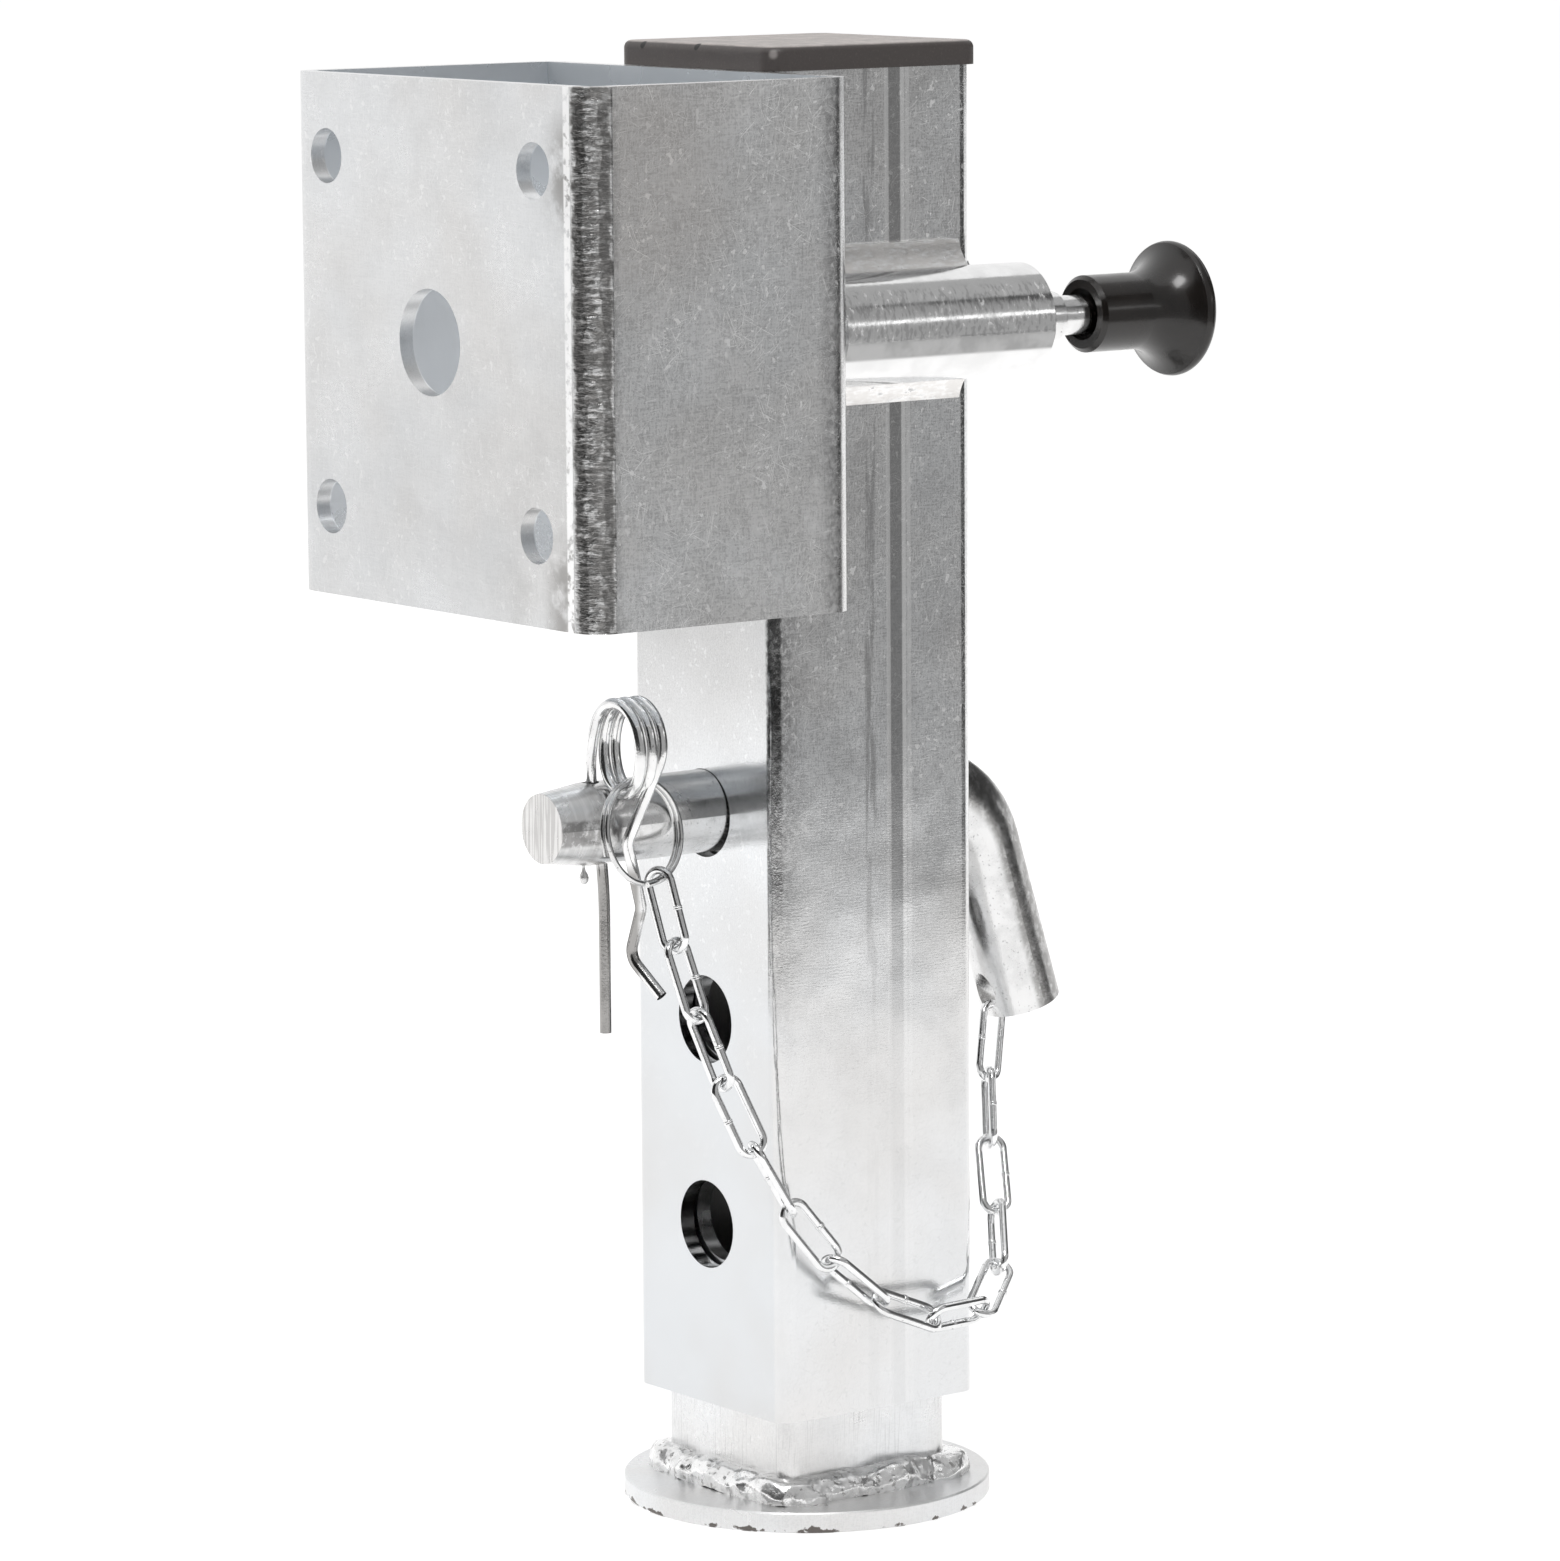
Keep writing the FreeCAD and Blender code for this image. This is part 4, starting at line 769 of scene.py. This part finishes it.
def dress_small_parts():
    """Bright zinc for the fasteners, the plunger, the pin, the clip and the chain, and the two plastics."""
    assign(bright_metal("fastener_zinc", 0.66, 0.34, 0.01),
           "pivot_bolt", "head_washer", "pivot_spacer", "nut_washer", "pivot_nut", "crush_sleeve")
    assign(housing_plate(), "plunger_housing")
    assign(bright_metal("rod_zinc", 0.84, 0.18), "plunger_rod", "plunger_bush")
    assign(bright_metal("spring_wire", 0.60, 0.33), "plunger_spring")
    assign(bright_metal("clip_zinc", 0.88, 0.15, paint=clip_marks), "r_clip")
    assign(bright_metal("ring_steel", 0.76, 0.16), "split_ring")
    assign(cap_plastic(), "end_cap")
    assign(knob_plastic(), "plunger_knob")
    pin = bright_metal("pin_zinc", 0.80, 0.22, paint=pin_marks)
    chain = bright_metal("chain_zinc", 0.90, 0.14, 0.005)
    assign(pin, "locking_pin")
    assign(chain, *[f"chain_link_{index:02d}" for index in range(1, CHAIN_LINKS + 1)])
    link_welds(chain)
    zinc_drip(pin)


def make_floor():
    """A plain white floor that keeps the stand's shadow."""
    make = Shader("floor_white")
    path = make.add("ShaderNodeLightPath").outputs
    seen = make.most(path["Is Camera Ray"], path["Is Glossy Ray"], path["Is Transmission Ray"])
    paint = make.add("ShaderNodeBsdfDiffuse", {"Color": FLOOR_PAINT})
    glow = make.add("ShaderNodeEmission", {"Color": (1, 1, 1, 1), "Strength": make.product(seen, FLOOR_GLOW)})
    both = make.add("ShaderNodeAddShader", {0: paint.outputs[0], 1: glow.outputs[0]})
    make.put(make.output.inputs["Surface"], both.outputs[0])
    half = FLOOR_SIZE / 2
    mesh = bpy.data.meshes.new("floor")
    mesh.from_pydata([(-half, -half, 0), (half, -half, 0), (half, half, 0), (-half, half, 0)], [], [(0, 1, 2, 3)])
    mesh.materials.append(make.material)
    floor = bpy.data.objects.new("floor", mesh)
    bpy.context.scene.collection.objects.link(floor)


def make_world():
    """White for the camera and for reflections, softer for the light that falls on matt surfaces."""
    world = bpy.data.worlds.new("studio")
    bpy.context.scene.world = world
    world.use_nodes = True
    tree = world.node_tree
    tree.nodes.clear()
    output = tree.nodes.new("ShaderNodeOutputWorld")
    path = tree.nodes.new("ShaderNodeLightPath")
    seen = path.outputs["Is Camera Ray"]
    for kind in ("Is Glossy Ray", "Is Transmission Ray"):
        greater = tree.nodes.new("ShaderNodeMath")
        greater.operation = "MAXIMUM"
        tree.links.new(seen, greater.inputs[0])
        tree.links.new(path.outputs[kind], greater.inputs[1])
        seen = greater.outputs[0]
    mixed = tree.nodes.new("ShaderNodeMixShader")
    tree.links.new(seen, mixed.inputs[0])
    for socket, strength in ((1, SOFT_WORLD), (2, 1.0)):
        background = tree.nodes.new("ShaderNodeBackground")
        background.inputs["Color"].default_value = (1, 1, 1, 1)
        background.inputs["Strength"].default_value = strength
        tree.links.new(background.outputs[0], mixed.inputs[socket])
    tree.links.new(mixed.outputs[0], output.inputs["Surface"])


def soft_light(name, azimuth, height, distance, width, power):
    """A square soft box that looks at the stand's middle and leaves reflections to the world and the flags."""
    angle = math.radians(azimuth)
    place = Vector((math.cos(angle) * distance, math.sin(angle) * distance, height))
    data = bpy.data.lights.new(name, "AREA")
    data.shape = "SQUARE"
    data.size = width
    data.energy = power
    lamp = bpy.data.objects.new(name, data)
    bpy.context.scene.collection.objects.link(lamp)
    lamp.location = place
    lamp.visible_glossy = False
    lamp.rotation_euler = (LAMP_TARGET - place).to_track_quat("-Z", "Y").to_euler()


def flag(name, first, last, low, high, distance, level):
    """A curved screen that shows only in glossy surfaces, as a studio's black flags and strip lights do."""
    make = Shader(name)
    glow = make.add("ShaderNodeEmission", {"Color": (1, 1, 1, 1), "Strength": level})
    make.put(make.output.inputs["Surface"], glow.outputs[0])
    vertices = []
    for step in range(FLAG_STEPS + 1):
        angle = math.radians(first + (last - first) * step / FLAG_STEPS)
        for height in (low, high):
            vertices.append((math.cos(angle) * distance, math.sin(angle) * distance, height))
    mesh = bpy.data.meshes.new(name)
    mesh.from_pydata(vertices, [], grid_faces(FLAG_STEPS + 1, 2))
    mesh.materials.append(make.material)
    screen = bpy.data.objects.new(name, mesh)
    bpy.context.scene.collection.objects.link(screen)
    screen.visible_camera = False
    screen.visible_diffuse = False
    screen.visible_shadow = False
    screen.visible_transmission = False


def make_studio():
    """World, floor, lamps and flags."""
    make_world()
    make_floor()
    for lamp in LAMPS:
        soft_light(*lamp)
    for screen in FLAGS:
        flag(*screen)


make_camera()
dress_plates()
dress_welds()
dress_small_parts()
make_studio()
bpy.context.scene.view_settings.view_transform = "Standard"
